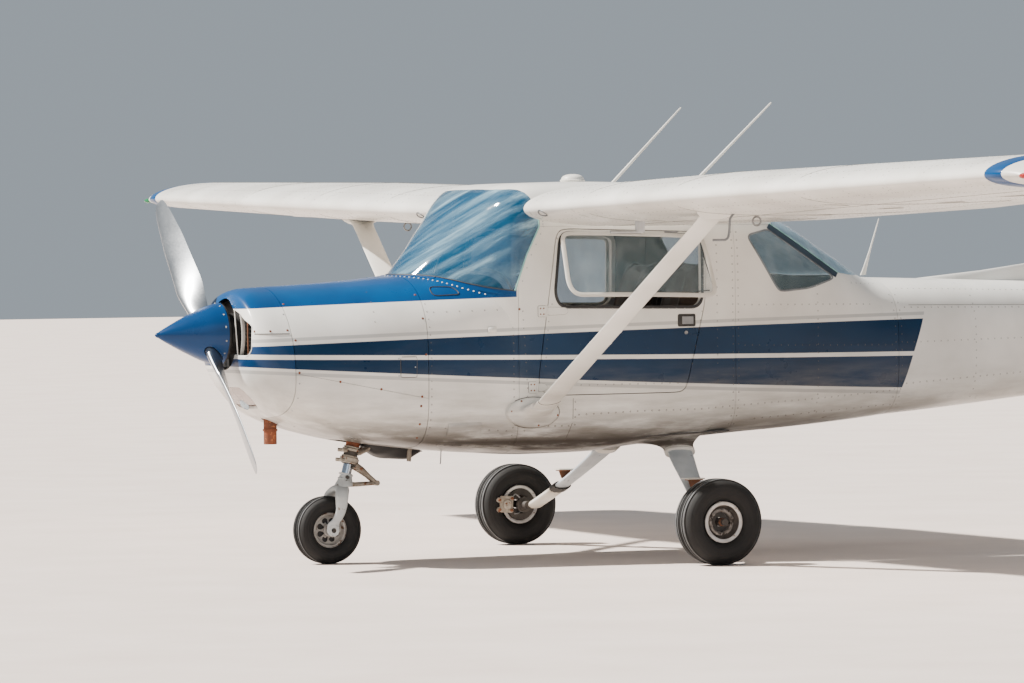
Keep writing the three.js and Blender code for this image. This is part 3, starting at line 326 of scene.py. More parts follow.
# Each material is named for the real one. Enamel gives sharp highlights on a soft body colour, worn metal broken
# ones, rubber, cloth and paper almost none, and acrylic sharp ones over what lies behind it.
finishes = {
    "body": enamel("enamel_white_striped", striped=True),
    "cowl": enamel("enamel_cowl", blueTop=True, striped=True),
    "cap": enamel("enamel_nose_cap", blueTop=True, striped=True, bandColor="capBlue"),
    "white": enamel("enamel_white"),
    "leg": wornMetal("spring_leg_enamel", "#b4bbc0", "#949da3", 0.38, 0.0, patch=7, spots=("#59616a", 34, 0.66)),
    "fork": wornMetal("fork_grey_enamel", "#c6cbcb", "#9fa5a4", 0.42, 0.0, patch=9, spots=("#6b5a48", 26, 0.63)),
    "steel": wornMetal("bare_steel", "#9a9c9d", "#6f7070", 0.38),
    # The chrome's bluish tint is painted reflection of the sky
    "chrome": wornMetal("oleo_chrome", "#c9d4de", "#aab6c2", 0.12),
    "alloy": wornMetal("cast_alloy", "#b9bbbd", "#8d8f90", 0.34),
    "blade": wornMetal("blade_alloy", "#c4c8cb", "#9da2a6", 0.3, grain=(8, 8, 60)),
    "rust": wornMetal("rusted_steel", "#8a4a2c", "#5e3b2b", 0.72, 0.25, patch=22, spots=("#a5673f", 60, 0.6)),
    "iron": wornMetal("heat_dulled_iron", "#56524e", "#3a3734", 0.66, 0.6, patch=10),
    "dark": dullSurface("matt_black_fittings", "#1c1c1d", "#2a2928", 0.62, dust=("#6b655c", 0.25)),
    "tyre": dullSurface("tyre_rubber", "#040404", "#090909", 0.78, 1.2, 0.5, patch=30, dust=("#2f2c28", 0.08)),
    "tread": dullSurface("tyre_tread_worn", "#3a3b3c", "#505254", 0.85, 1.2, 0.5, patch=22, dust=("#6b675f", 0.25)),
    "hubGrime": wornMetal("rim_hub_grimy", "#8b8783", "#56514c", 0.45, 0.55, patch=26, spots=("#2e2925", 44, 0.56)),
    "rimDirt": wornMetal("rim_cone_dirty", "#4d4742", "#2c2825", 0.6, 0.4, patch=26),
    "flangeSilver": wornMetal("rim_flange_silver", "#c5c4c2", "#9d9a96", 0.36, 0.5, patch=20,
        spots=("#6d5a4a", 40, 0.64)),
    "seal": dullSurface("seal_rubber", "#1b1b1c", "#262627", 0.55),
    "panel": dullSurface("panel_crackle_paint", "#202123", "#2b2c2e", 0.7, 0.8, 0.4),
    "liner": dullSurface("cabin_lining", "#5f5b54", "#4f4b45", 0.8, 3.0, 0.3, sheen=0.1),
    "floor": dullSurface("floor_carpet", "#4c4945", "#3b3936", 0.95, 4.0, 1.0, sheen=0.3),
    "cloth": dullSurface("seat_cloth", "#5a4c40", "#46392f", 0.92, 1.5, 0.6, weave=2.4, sheen=0.35),
    "whitePlastic": dullSurface("white_moulding", "#dddbd4", "#cbc8c0", 0.4, 5.0, 0.1, dust=("#8a857b", 0.2)),
    "glass": acrylic("acrylic_clear", "#7f99a3", 0.86),
    # The windshield's deep blue tint and its pale streaks are painted reflection of the sky
    "screen": acrylic("acrylic_windshield", "#0f4b6c", 0.42, "#a5c8d6", 0.85),
    "rearPaneGlass": acrylic("acrylic_rear_pane", "#8fb0c2", 0.4, "#dbe6ec"),
    "lamp": acrylic("lamp_lens", "#cfe2ee", 0.5, "#e8f0f4"),
    "red": acrylic("red_lens", "#a51f17", 0.2, "#8a2a20"),
    "green": acrylic("green_lens", "#157a4a", 0.2, "#2a6a4a"),
    "screw": wornMetal("rusty_screw_head", "#8a4c30", "#5b3a2c", 0.6, 0.35, patch=90),
    "rivet": wornMetal("painted_rivet", "#c9c7c0", "#8f8b83", 0.42, 0.0, patch=30),
    "spinner": enamel("enamel_spinner", base="blue", shade="capBlue", lowDarkeningAndSpecks=False),
    "sleeve": wornMetal("leg_sleeve_enamel", "#d8d5cd", "#b3aa9c", 0.4, 0.0, patch=8, spots=("#8a6d55", 18, 0.66)),
    "castGrey": wornMetal("cast_fitting_worn", "#b8b2a6", "#8d8375", 0.5, 0.35, patch=24, spots=("#7a5138", 40, 0.6)),
    "linkSteel": wornMetal("link_steel_worn", "#9c9488", "#6f665b", 0.55, 0.45, patch=26,
        spots=("#70492f", 44, 0.58)),
    "rimGrey": wornMetal("rim_cast_grey", "#aaa8a3", "#807c77", 0.55, 0.25, patch=26, spots=("#5c4536", 34, 0.6)),
    "hubRust": wornMetal("hub_rust_film", "#8c5a3d", "#5f4536", 0.6, 0.4, patch=30),
    "frameEdge": wornMetal("frame_edge_grey", "#7d8184", "#5f6366", 0.45, 0.2, patch=20),
    "strip": dullSurface("dark_blue_strip", "#1c2a38", "#2a3948", 0.45, 3.0, 0.1),
    "ringDirt": dullSurface("rivet_ring_grime", "#57524b", "#423e38", 0.7),
    # Dark seams; round the hinge plates and the strut feet they are partly painted shadow at raised edges
    "seamDark": dullSurface("seam_grime_and_edge_shadow", "#4a4640", "#5d5850", 0.8),
    "dial": dullSurface("dial_face", "#101011", "#1a1a1b", 0.35, 5.0, 0.05),
    "blueTrim": enamel("enamel_blue_trim", base="blue", shade="blueShade", lowDarkeningAndSpecks=False),
    "rivetWhite": wornMetal("rivet_white_enamel", "#e6e6e2", "#c9c8c2", 0.4, 0.0, patch=40),
    "edgeTeal": acrylic("acrylic_cut_edge", "#8fc9c0", 0.35, "#cfe6e2"),
    "reflector": dullSurface("lamp_bay_paint", "#cbbdb4", "#b9a9a0", 0.4, 3.0, 0.1),
    "cover": acrylic("acrylic_lamp_cover", "#d9cec8", 0.55, "#e6dcd6"),
    "paper": dullSurface("paper", "#eceae4", "#dedbd3", 0.8, 3.0, 0.1),
}
print("stage: materials made")

# Mesh tools


# Angles of points spread evenly round a circle
def turnsOf(count):
    return np.linspace(0, 2 * math.pi, count, endpoint=False)


# Faces between rings of points; each ring is closed
def gridFaces(rows, columns, start=0):
    across = np.arange(columns)[None, :]
    first = np.arange(rows - 1)[:, None] * columns + start
    a, b = first + across, first + (across + 1) % columns
    return np.stack([a, b, b + columns, a + columns], -1).reshape(-1, 4).tolist()


# Faces between two rings of points, given by the place of the first point of each
def joinFaces(first, second, count):
    low, high = np.arange(count), (np.arange(count) + 1) % count
    return np.stack([first + low, first + high, second + high, second + low], 1).tolist()


# Profile of a plain pin for turned: its radius and its length
def pin(radius, length):
    return [(0, 0), (0, radius), (length, radius), (length, 0)]


# Mesh from points in millimetres, placed in the frame in metres
def newMesh(name, points, faces):
    mesh = bpy.data.meshes.new(name)
    mesh.from_pydata(((np.asarray(points, float) - (originStation, 0, 0)) / 1000).tolist(), [], faces)
    shape = bpy.data.objects.new(name, mesh)
    bpy.context.scene.collection.objects.link(shape)
    return shape


def faceOutwards(shape):
    work = bmesh.new()
    work.from_mesh(shape.data)
    bmesh.ops.recalc_face_normals(work, faces=work.faces)
    work.to_mesh(shape.data)
    work.free()


def finishPiece(shape, finish, body="airframe", replaces=(), sharp=35, outwards=True):
    if outwards:
        faceOutwards(shape)
    shape.data.shade_smooth()
    shape.data.set_sharp_from_angle(angle=math.radians(sharp))
    shape.data.materials.clear()
    shape.data.materials.append(finishes[finish])
    if replaces:
        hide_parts(*replaces)
    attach(shape, body)
    return shape


def settle(shape):
    graph = bpy.context.evaluated_depsgraph_get()
    made = bpy.data.meshes.new_from_object(shape.evaluated_get(graph))
    shape.modifiers.clear()
    shape.data = made
    return shape


def carve(shape, *cutters, keep=False):
    for cutter in cutters:
        step = shape.modifiers.new("carve", "BOOLEAN")
        step.operation = "INTERSECT" if keep else "DIFFERENCE"
        step.solver = "EXACT"
        step.object = cutter
        settle(shape)
    return shape


def discard(*shapes):
    for shape in shapes:
        bpy.data.objects.remove(shape)


def joined(name, *shapes):
    work = bmesh.new()
    for shape in shapes:
        work.from_mesh(shape.data)
    mesh = bpy.data.meshes.new(name)
    work.to_mesh(mesh)
    work.free()
    discard(*shapes)
    made = bpy.data.objects.new(name, mesh)
    bpy.context.scene.collection.objects.link(made)
    return made


def shrink(outline, distance):
    line = np.asarray(outline, float)
    after = np.roll(line, -1, 0) - line
    sense = np.sign(np.sum(line[:, 0] * np.roll(line, -1, 0)[:, 1] - np.roll(line, -1, 0)[:, 0] * line[:, 1]))
    after /= np.linalg.norm(after, axis=1, keepdims=True)
    before = np.roll(after, 1, 0)
    inward = np.stack([-before[:, 1] - after[:, 1], before[:, 0] + after[:, 0]], 1) * sense
    return line + inward * (distance / (1 + np.sum(before * after, 1)))[:, None]


# Each corner becomes a parabola that starts and ends a radius from it, at most half way to the next corner.
def rounded(outline, radius, steps=5):
    line = np.asarray(outline, float)
    points = []
    for i, corner in enumerate(line):
        ends = []
        for other in (line[i - 1], line[(i + 1) % len(line)]):
            length = np.linalg.norm(other - corner)
            ends.append(corner + (other - corner) * min(radius / length, 0.45))
        for t in np.linspace(0, 1, steps):
            points.append((1 - t) ** 2 * ends[0] + 2 * t * (1 - t) * corner + t * t * ends[1])
    return np.array(points)


# A prism from a flat outline: axis y takes (station, height), x takes (side, height), z takes (station, side).
def prism(name, outline, low, high, axis="y"):
    line = np.asarray(outline, float)
    order = {"y": (0, 2, 1), "x": (1, 2, 0), "z": (0, 1, 2)}[axis]
    points = np.zeros((2, len(line), 3))
    points[:, :, order[0]], points[:, :, order[1]] = line[:, 0], line[:, 1]
    points[0, :, order[2]], points[1, :, order[2]] = low, high
    count = len(line)
    faces = gridFaces(2, count) + [list(range(count)), list(range(count, 2 * count))]
    shape = newMesh(name, points.reshape(-1, 3), faces)
    faceOutwards(shape)
    return shape


def block(name, x0, x1, y0, y1, z0, z1):
    return prism(name, [(x0, z0), (x1, z0), (x1, z1), (x0, z1)], y0, y1)


# A tube along points, its ring turned by the least twist; radius may change along it.
def tube(name, path, radius, sides=8, closed=False):
    line = np.asarray(path, float)
    radii = np.broadcast_to(np.asarray(radius, float), (len(line),))
    step = np.roll(line, -1, 0) - np.roll(line, 1, 0) if closed else np.gradient(line, axis=0)
    step /= np.linalg.norm(step, axis=1, keepdims=True)
    side = np.cross(step[0], (0, 0, 1) if abs(step[0][2]) < 0.9 else (1, 0, 0))
    turn = turnsOf(sides)
    rings = []
    for point, ahead, reach in zip(line, step, radii):
        side = side - ahead * np.dot(side, ahead)
        side /= np.linalg.norm(side)
        up = np.cross(ahead, side)
        rings.append(point + reach * (np.cos(turn)[:, None] * side + np.sin(turn)[:, None] * up))
    count = len(line)
    faces = gridFaces(count, sides)
    if closed:
        faces += joinFaces((count - 1) * sides, 0, sides)
    else:
        faces += [list(range(sides)), list(range((count - 1) * sides, count * sides))]
    return newMesh(name, np.concatenate(rings), faces)


# A skin through rings of equal count, capped at both ends.
def loft(name, rings):
    rings = np.asarray(rings, float)
    rows, columns = rings.shape[:2]
    ends = [list(range(columns)), list(range((rows - 1) * columns, rows * columns))]
    return newMesh(name, rings.reshape(-1, 3), gridFaces(rows, columns) + ends)


# A profile of (distance along the axis, radius) turned about it: it starts and ends on the axis, or closes on itself.
def turned(name, profile, centre, axis, sides=48):
    profile = np.asarray(profile, float)
    ring = np.allclose(profile[0], profile[-1]) and profile[0, 1] > 0.2
    profile = profile[:-1] if ring else profile
    axis = np.asarray(axis, float) / np.linalg.norm(axis)
    side = np.cross(axis, (0, 0, 1) if abs(axis[2]) < 0.9 else (1, 0, 0))
    side /= np.linalg.norm(side)
    up = np.cross(axis, side)
    turn = turnsOf(sides)
    around = np.cos(turn)[:, None] * side + np.sin(turn)[:, None] * up
    rings = np.asarray(centre) + profile[:, :1, None] * axis + np.maximum(profile[:, 1], 0.05)[:, None, None] * around
    if not ring:
        return loft(name, rings)
    faces = gridFaces(len(rings), sides) + joinFaces((len(rings) - 1) * sides, 0, sides)
    return newMesh(name, rings.reshape(-1, 3), faces)


def twin(shape, name, mirrored=False):
    mesh = shape.data.copy()
    if mirrored:
        mesh.transform(Matrix.Diagonal((1, -1, 1, 1)))
        mesh.flip_normals()
    made = bpy.data.objects.new(name, mesh)
    bpy.context.scene.collection.objects.link(made)
    return made


# Small domes standing on a surface: six sides to a centre point, at each point along its normal.
def domes(name, points, normals, radius=3.2, height=1.5, sides=6):
    points, normals = np.asarray(points, float), np.asarray(normals, float)
    normals = normals / np.linalg.norm(normals, axis=1, keepdims=True)
    away = np.where(np.abs(normals[:, :1]) < 0.9, (1.0, 0, 0), (0, 1.0, 0))
    side = np.cross(normals, away)
    side /= np.linalg.norm(side, axis=1, keepdims=True)
    up = np.cross(normals, side)
    turn = turnsOf(sides)
    around = np.cos(turn)[None, :, None] * side[:, None] + np.sin(turn)[None, :, None] * up[:, None]
    foot = points[:, None] + radius * around - normals[:, None] * 0.4
    shoulder = points[:, None] + radius * 0.72 * around + normals[:, None] * height * 0.75
    top = points[:, None] + normals[:, None] * height
    size = 2 * sides + 1
    low = np.arange(sides)
    quads = np.stack([low, (low + 1) % sides, (low + 1) % sides + sides, low + sides], 1)
    fans = np.stack([low + sides, (low + 1) % sides + sides, np.full(sides, 2 * sides)], 1)
    starts = np.arange(len(points)) * size
    faces = (starts[:, None, None] + quads).reshape(-1, 4).tolist() + (starts[:, None, None] + fans).reshape(-1,
        3).tolist()
    return newMesh(name, np.concatenate([foot, shoulder, top], 1).reshape(-1, 3), faces)


# Body: station, top, bottom, half width, widest height, top power, bottom power
noseRows = [
    [-500, 1236, 905, 296, 1062, 2.2, 2.2], [-478, 1280, 842, 350, 1036, 2.1, 2.2],
    [-420, 1300, 774, 402, 980, 2.0, 2.4], [-320, 1306, 696, 444, 895, 2.0, 2.7],
    [-170, 1313, 637, 458, 890, 2.1, 3.2], [100, 1330, 573, 468, 900, 2.4, 3.8],
    [330, 1352, 541, 480, 930, 2.7, 4.4], [560, 1372, 519, 504, 950, 3.2, 5.0],
    [770, 1384, 505, 524, 960, 3.6, 5.4],
]
cabinRows = [
    [300, 1305, 640, 180, 960, 2.2, 4.0], [340, 1353, 630, 236, 960, 2.2, 4.0],
    [450, 1476, 625, 341, 960, 2.2, 4.0], [565, 1614, 620, 428, 960, 2.4, 4.2],
    [700, 1738, 560, 498, 960, 3.6, 5.0], [768, 1765, 505, 525, 960, 4.9, 5.4],
    [890, 1781, 501, 532, 960, 6.6, 5.6], [1200, 1787, 508, 538, 960, 7.0, 6.0],
    [1420, 1783, 530, 536, 965, 7.0, 5.8], [1690, 1757, 556, 528, 970, 6.6, 5.4],
    [1980, 1697, 577, 510, 975, 5.6, 5.0], [2250, 1606, 593, 484, 985, 4.2, 4.6],
    [2530, 1448, 614, 448, 985, 3.4, 4.2], [2760, 1320, 634, 414, 985, 3.0, 3.8],
    [2830, 1314, 642, 402, 985, 2.9, 3.7],
]
tailRows = [
    [2830, 1314, 642, 402, 985, 2.9, 3.7], [3158, 1305, 668, 352, 988, 2.8, 3.5],
    [3733, 1286, 723, 268, 1000, 2.7, 3.3], [4500, 1261, 795, 174, 1020, 2.6, 3.0],
    [5200, 1239, 862, 100, 1048, 2.5, 2.8], [5720, 1222, 911, 58, 1066, 2.4, 2.6],
]
bodySizes = {"wall": 16, "doorWall": 34, "pane": 5, "sideTop": 1575, "turnWeight": 180, "topSteps": 22,
    "lowSteps": 18}


# A smooth curve through a table's rows that never overshoots them, each column on its own.
def smoothRows(rows, places):
    table = np.asarray(rows, float)
    gaps = np.diff(table[:, 0])[:, None]
    slopes = np.diff(table, axis=0) / gaps
    same = slopes[:-1] * slopes[1:] > 0
    total = np.where(same, slopes[:-1] + slopes[1:], 1)
    middle = np.where(same, 2 * slopes[:-1] * slopes[1:] / total, 0)
    tangents = np.vstack([slopes[:1], middle, slopes[-1:]])
    i = np.clip(np.searchsorted(table[:, 0], places, "right") - 1, 0, len(table) - 2)
    t = ((places - table[i, 0]) / gaps[i, 0])[:, None]
    ends = (2 * t**3 - 3 * t**2 + 1) * table[i] + (3 * t**2 - 2 * t**3) * table[i + 1]
    return ends + ((t**3 - 2 * t**2 + t) * tangents[i] + (t**3 - t**2) * tangents[i + 1]) * gaps[i]


# Values of a table's columns at a place, on straight lines between its rows
def rowsAt(rows, place, *columns):
    table = np.array(rows, float)
    return [np.interp(place, table[:, 0], table[:, k]) for k in columns]


# Rings of the body at stations: y = (half - inset) c^(2/p), z = mid + rise s^(2/p), from the top centre by port
# round the bottom to starboard; points are spread by length plus turnWeight mm for each radian turned.
def bodyGrid(rows, places, inset=0.0):
    turn = np.linspace(0, math.pi / 2, 361)
    rings = []
    for station, top, bottom, half, mid, topPower, lowPower in smoothRows(rows, np.asarray(places, float)):
        quarters = []
        for rise, power, steps in (
                (top - mid - inset, topPower, bodySizes["topSteps"]),
                (bottom - mid + inset, lowPower, bodySizes["lowSteps"])):
            y = (half - inset) * np.abs(np.cos(turn)) ** (2 / power)
            z = rise * np.sin(turn) ** (2 / power)
            y[-1] = 0
            heading = np.unwrap(np.arctan2(np.diff(z), np.diff(y)))
            bends = np.abs(np.diff(heading, prepend=heading[0]))
            walk = np.r_[0, np.cumsum(np.hypot(np.diff(y), np.diff(z)) + bodySizes["turnWeight"] * bends)]
            at = np.linspace(0, walk[-1], steps + 1)
            quarters.append(np.stack([np.interp(at, walk, y), mid + np.interp(at, walk, z)], 1))
        half = np.vstack([quarters[0][::-1], quarters[1][1:]])
        other = half[1:-1][::-1]
        ring = np.vstack([half * (-1, 1), other])
        rings.append(np.column_stack([np.full(len(ring), station), ring]))
    return np.array(rings)


def stations(x0, x1, gap=34):
    return np.linspace(x0, x1, max(2, int(round((x1 - x0) / gap)) + 1))


def shell(name, rows, x0, x1, wall, gap=34, inset=0.0):
    places = stations(x0, x1, gap)
    outer, inner = bodyGrid(rows, places, inset), bodyGrid(rows, places, inset + wall)
    n, m = outer.shape[:2]
    points = np.concatenate([outer.reshape(-1, 3), inner.reshape(-1, 3)])
    faces = gridFaces(n, m) + gridFaces(n, m, start=n * m)
    for edge in (0, (n - 1) * m):
        faces += joinFaces(edge, edge + n * m, m)
    shape = newMesh(name, points, faces)
    faceOutwards(shape)
    return shape


def solidBody(name, rows, x0, x1, grow):
    shape = loft(name, bodyGrid(rows, stations(x0, x1), -grow))
    faceOutwards(shape)
    return shape


# Point and outward normal on the port side of the body at stations and heights
def sidePoints(rows, places, heights, out=0.0):
    table = smoothRows(rows, np.asarray(places, float))
    _, top, bottom, half, mid, topPower, lowPower = table.T
    heights = np.broadcast_to(np.asarray(heights, float), table[:, 0].shape)
    above = heights > mid
    rise = np.where(above, top - mid, bottom - mid)
    power = np.where(above, topPower, lowPower)
    share = np.clip((heights - mid) / rise, 0, 0.99999)
    y = half * (1 - share**power) ** (1 / power)
    normal = np.stack([np.zeros_like(y), -((y / half) ** (power - 1)) / half, share ** (power - 1) / rise], 1)
    normal /= np.linalg.norm(normal, axis=1, keepdims=True)
    return np.stack([table[:, 0], -y, heights], 1) + normal * out, normal


def bothSides(points, normals):
    flip = np.array([1, -1, 1])
    return np.vstack([points, points * flip]), np.vstack([normals, normals * flip])


# Outlines in side view: station, height
screenLine = [
    (300, 1150), (430, 1150), (463, 1345), (522, 1327), (574, 1310), (630, 1295), (692, 1283), (755, 1275),
    (816, 1443), (884, 1575), (884, 1792), (300, 1792),
]
# Front edge of the roof seen from above: station, side
roofEdge = [(735, 0), (738, 150), (745, 240), (775, 320), (822, 385), (860, 460), (884, 520), (884, 900)]
doorLine = [
    (862, 848), (884, 802), (930, 782), (1600, 784), (1634, 806), (1738, 1210), (1742, 1500), (1716, 1546),
    (1000, 1566), (962, 1540), (918, 1231),
]
doorPane = [(956, 1256), (984, 1200), (1688, 1190), (1718, 1222), (1720, 1500), (1698, 1524), (1012, 1544),
    (984, 1518)]
quarterPane = [(1974, 1525), (2134, 1268), (2160, 1256), (2320, 1270), (2480, 1318), (2112, 1554)]
rearPane = [(2134, 1580), (2504, 1340), (2600, 1327), (2786, 1327), (2786, 1660), (2240, 1660)]
# Half the width of the prisms that cut across the body, and the exhaust's station and side
cutReach, exhaustPlace = 900, (-268, 20)
nosePort = (40, 330, -84, 84)
# The port window's hinge line and how far it stands open, in degrees
openWindow = {"side": -526, "height": 1538, "angle": -30}
inletLine = [(112, 1000), (180, 988), (290, 990), (322, 1020), (319, 1128), (180, 1194), (116, 1204)]
intakeLine = [(-118, 738), (118, 738), (152, 788), (124, 840), (-124, 840), (-152, 788)]
cowlSplit = [(-400, 924), (400, 767), (400, 300), (-400, 300)]
thrustLine = 1088

# Nose cap: rings that close the front, cut for the inlets, the propeller shaft and the carburettor intake
capSizes = {"front": -500, "wall": 12, "bulge": 5, "rear": -320, "shaft": 167}


def makeCap():
    places = np.r_[-500, -497, -492, -485, -478, -466, -452, -436, stations(-420, capSizes["rear"] - 1.5, 20)]
    shares = np.array([0.03, 0.3, 0.55, 0.75, 0.88, 0.96])[:, None, None]
    sheets = []
    for inset, push in ((0, 0), (capSizes["wall"], capSizes["wall"])):
        grid = bodyGrid(noseRows, places, inset)
        grid[:, :, 0] = np.maximum(grid[:, :, 0], capSizes["front"] + push)
        centre = grid[0].mean(0)
        front = centre + (grid[0] - centre) * shares
        front[:, :, 0] = capSizes["front"] + push - capSizes["bulge"] * (1 - shares[:, :, 0] ** 2)
        sheets.append(np.concatenate([front, grid]))
    n, m = sheets[0].shape[:2]
    faces = gridFaces(n, m) + gridFaces(n, m, start=n * m) + [list(range(m)), list(range(n * m, n * m + m))]
    faces += joinFaces((n - 1) * m, (2 * n - 1) * m, m)
    cap = newMesh("cowl_cap_skin", np.concatenate(sheets).reshape(-1, 3), faces)
    faceOutwards(cap)
    line = rounded(inletLine, 14)
    cutters = [prism("cut", line, -620, -420, "x"), prism("cut", line * (-1, 1), -620, -420, "x")]
    cutters += [prism("cut", rounded(intakeLine, 26), -620, -380, "x")]
    cutters += [turned("cut", [(0, 0), (0, capSizes["shaft"]), (200, capSizes["shaft"]), (200, 0)],
        (-440, 0, thrustLine), (-1, 0, 0))]
    carve(cap, *cutters)
    discard(*cutters)
    return finishPiece(cap, "cap", replaces=["cowl_nose_cap"])


makeCap()


def makeCowl():
    whole = shell("whole", noseRows, capSizes["rear"] + 1.5, 328.5, 9)
    low = prism("cut", cowlSplit, -cutReach, cutReach)
    port = block("cut", nosePort[0], 400, nosePort[2], nosePort[3], 400, 700)
    pipe = turned("cut", pin(42, 160), (*exhaustPlace, 560), (0, 0, 1))
    upper = carve(twin(whole, "cowl_upper_skin"), low)
    carve(carve(whole, prism("cut2", shrink(cowlSplit, 1.5), -cutReach, cutReach), keep=True), port, pipe)
    discard(low, port, pipe, bpy.data.objects["cut2"])
    whole.name = "cowl_lower_skin"
    finishPiece(upper, "cowl", replaces=["cowl_upper"])
    finishPiece(whole, "cowl", replaces=["cowl_lower"])


makeCowl()
print("stage: cowling made")

# Cabin skins, cut for the doors and panes
# The windshield's space: its side outline in front of the roof's edge as seen from above
def screenCutter(back=0.0, grow=0.0):
    line = np.array(screenLine)
    shape = prism("cut", shrink(line, grow), -cutReach, cutReach)
    half = smoothRows(np.array(roofEdge)[:, ::-1], np.linspace(0, 900, 61))[:, ::-1] - (back, 0)
    plan = np.vstack([[(200, -900)], half[::-1] * (1, -1), half[1:], [(200, 900)]])
    ahead = prism("cut", plan, 1000, 2000, "z")
    carve(shape, ahead, keep=True)
    discard(ahead)
    return shape


def makeCabin():
    boot = shell("boot_skin", noseRows, 331.5, 768.5, bodySizes["wall"])
    port = block("cut", 320, 420, nosePort[2], nosePort[3], 400, 700)
    carve(boot, port)
    screen = screenCutter()
    posts = shell("posts", cabinRows, 430, 771, 24, 20)
    lowNose = solidBody("cut", noseRows, 425, 770, -1.0)
    inside = solidBody("cut", cabinRows, 352, 767, -26)
    carve(boot, inside)
    noseEnd = block("cut", 768.2, 800, -cutReach, cutReach, 300, 2000)
    above = block("cut", 400, 800, -cutReach, cutReach, bodySizes["sideTop"], 2000)
    carve(posts, screen, lowNose, noseEnd, above)
    finishPiece(joined("cabin_front_skin", boot, posts), "cowl", replaces=["cabin_front"])
    door = prism("cut", rounded(doorLine, 60), -cutReach, cutReach)
    low = block("cut", 700, 3000, -cutReach, cutReach, 300, bodySizes["sideTop"])
    centre = shell("cabin_centre_skin", cabinRows, 770, 1899, bodySizes["wall"])
    carve(carve(centre, low, keep=True), screen, door)
    finishPiece(centre, "body", replaces=["cabin_centre"])
    quarter = prism("cut", rounded(quarterPane, 34), -cutReach, cutReach)
    rear = prism("cut", rounded(rearPane, 26), -cutReach, cutReach)
    back = shell("cabin_rear_skin", cabinRows, 1900.5, 2829, bodySizes["wall"])
    carve(carve(back, low, keep=True), quarter, rear)
    finishPiece(back, "body", replaces=["cabin_rear"])
    high = block("cut", 600, 3000, -cutReach, cutReach, bodySizes["sideTop"] + 1, 2200)
    roof = shell("roof_skin", cabinRows, 640, 2700, bodySizes["wall"])
    carve(carve(roof, high, keep=True), screen, rear)
    finishPiece(roof, "white", replaces=["roof"])
    discard(port, screen, lowNose, inside, noseEnd, above, door, low, quarter, rear, high)


makeCabin()
print("stage: cabin made")


# Panes: thin sheets on the cabin's surface inside each outline
def makePane(name, outline, radius, replaces, x0, x1, side=None, finish="glass", below=None, body="airframe"):
    sheet = shell(name, cabinRows, x0, x1, bodySizes["pane"], 22)
    if outline is screenLine:
        cutter = screenCutter(2, 2)
    else:
        cutter = prism("cut", rounded(shrink(outline, 2), radius), -900 if side != 1 else 0, 900 if side != -1 else 0)
    carve(sheet, cutter, keep=True)
    if below:
        carve(sheet, below)
    discard(cutter)
    return finishPiece(sheet, finish, body, [replaces], sharp=60)


def swingOpen(shape):
    hinge = Vector((0, openWindow["side"] / 1000, openWindow["height"] / 1000))
    turn = Matrix.Rotation(math.radians(openWindow["angle"]), 4, "X")
    shape.data.transform(Matrix.Translation(hinge) @ turn @ Matrix.Translation(-hinge))


def makePanes():
    nose = solidBody("cut", noseRows, 280, 770, 1.0)
    makePane("windshield_pane", screenLine, 26, "windshield", 305, 890, finish="screen", below=nose)
    discard(nose)
    makePane("rear_pane", rearPane, 26, "rear_window", 2150, 2800, finish="rearPaneGlass")
    for side, tag in bothTags:
        makePane("quarter_pane_" + tag, quarterPane, 34, "quarter_window_" + tag, 1960, 2480, side)
        pane = makePane("door_pane_" + tag, doorPane, 34, "door_window_" + tag, 930, 1740, side, body="door_" + tag)
        if side < 0:
            swingOpen(pane)


makePanes()


def makeDoors():
    for side, tag in bothTags:
        door = shell("door_skin_" + tag, cabinRows, 840, 1770, bodySizes["doorWall"])
        cutter = prism("cut", rounded(shrink(doorLine, 4), 56), -900 if side < 0 else 0, 0 if side < 0 else 900)
        hole = prism("cut", rounded(doorPane, 36), -cutReach, cutReach)
        carve(carve(door, cutter, keep=True), hole)
        discard(cutter, hole)
        finishPiece(door, "body", "door_" + tag, ["door_" + tag])


makeDoors()
print("stage: doors and panes made")

# Tail: the cone, the fin with its dorsal fillet, and the tailplane
rudderFoot, rudderHead = (5572, 945), (6192, 2352)
rudderLean = (rudderHead[0] - rudderFoot[0]) / (rudderHead[1] - rudderFoot[1])
finRows = [(1180, 4786, 6095), (1530, 5030, 6205), (2240, 5626, 6436), (2330, 5716, 6452)]
rudderRows = [(925, 6040, 20), (1530, 6205, 27), (2242, 6450, 21), (2352, 6494, 15)]
hornRows = [(2242, 5945, 6260, 22), (2352, 5990, 6280, 13)]
stabRows = [(0, 5010, 6030), (1405, 5196, 5965)]
elevatorRows = [(92, 6020, 22), (1405, 5968, 17), (1525, 5955, 14)]
dorsalCrest = [(3095, 1302), (3493, 1340), (3739, 1372), (5060, 1556)]
tailSizes = {
    "fin": 0.075, "stab": 0.085, "stabMid": 1248, "stabHinge": 5620, "tabIn": 380, "tabOut": 1080, "tabHinge": 5912,
    "bead": 1.6, "beadPitch": 76,
}


def rudderLine(height, offset=0.0):
    return rudderFoot[0] + (height - rudderFoot[1]) * rudderLean + offset


# Half thickness of a symmetrical section at a share of its chord
def tailForm(along):
    along = np.maximum(along, 0)
    return 1.4845 * np.sqrt(along) - 0.63 * along - 1.758 * along**2 + 1.4215 * along**3 - 0.5075 * along**4


def tailRing(nose, trail, cut, thickness):
    along = (1 - np.cos(np.linspace(0, math.pi / 2, 22))) * (cut - nose) / (trail - nose)
    half = tailForm(along) * thickness * (trail - nose)
    x = nose + along * (trail - nose)
    return np.r_[np.stack([x, half], 1), np.stack([x, -half], 1)[:0:-1]]


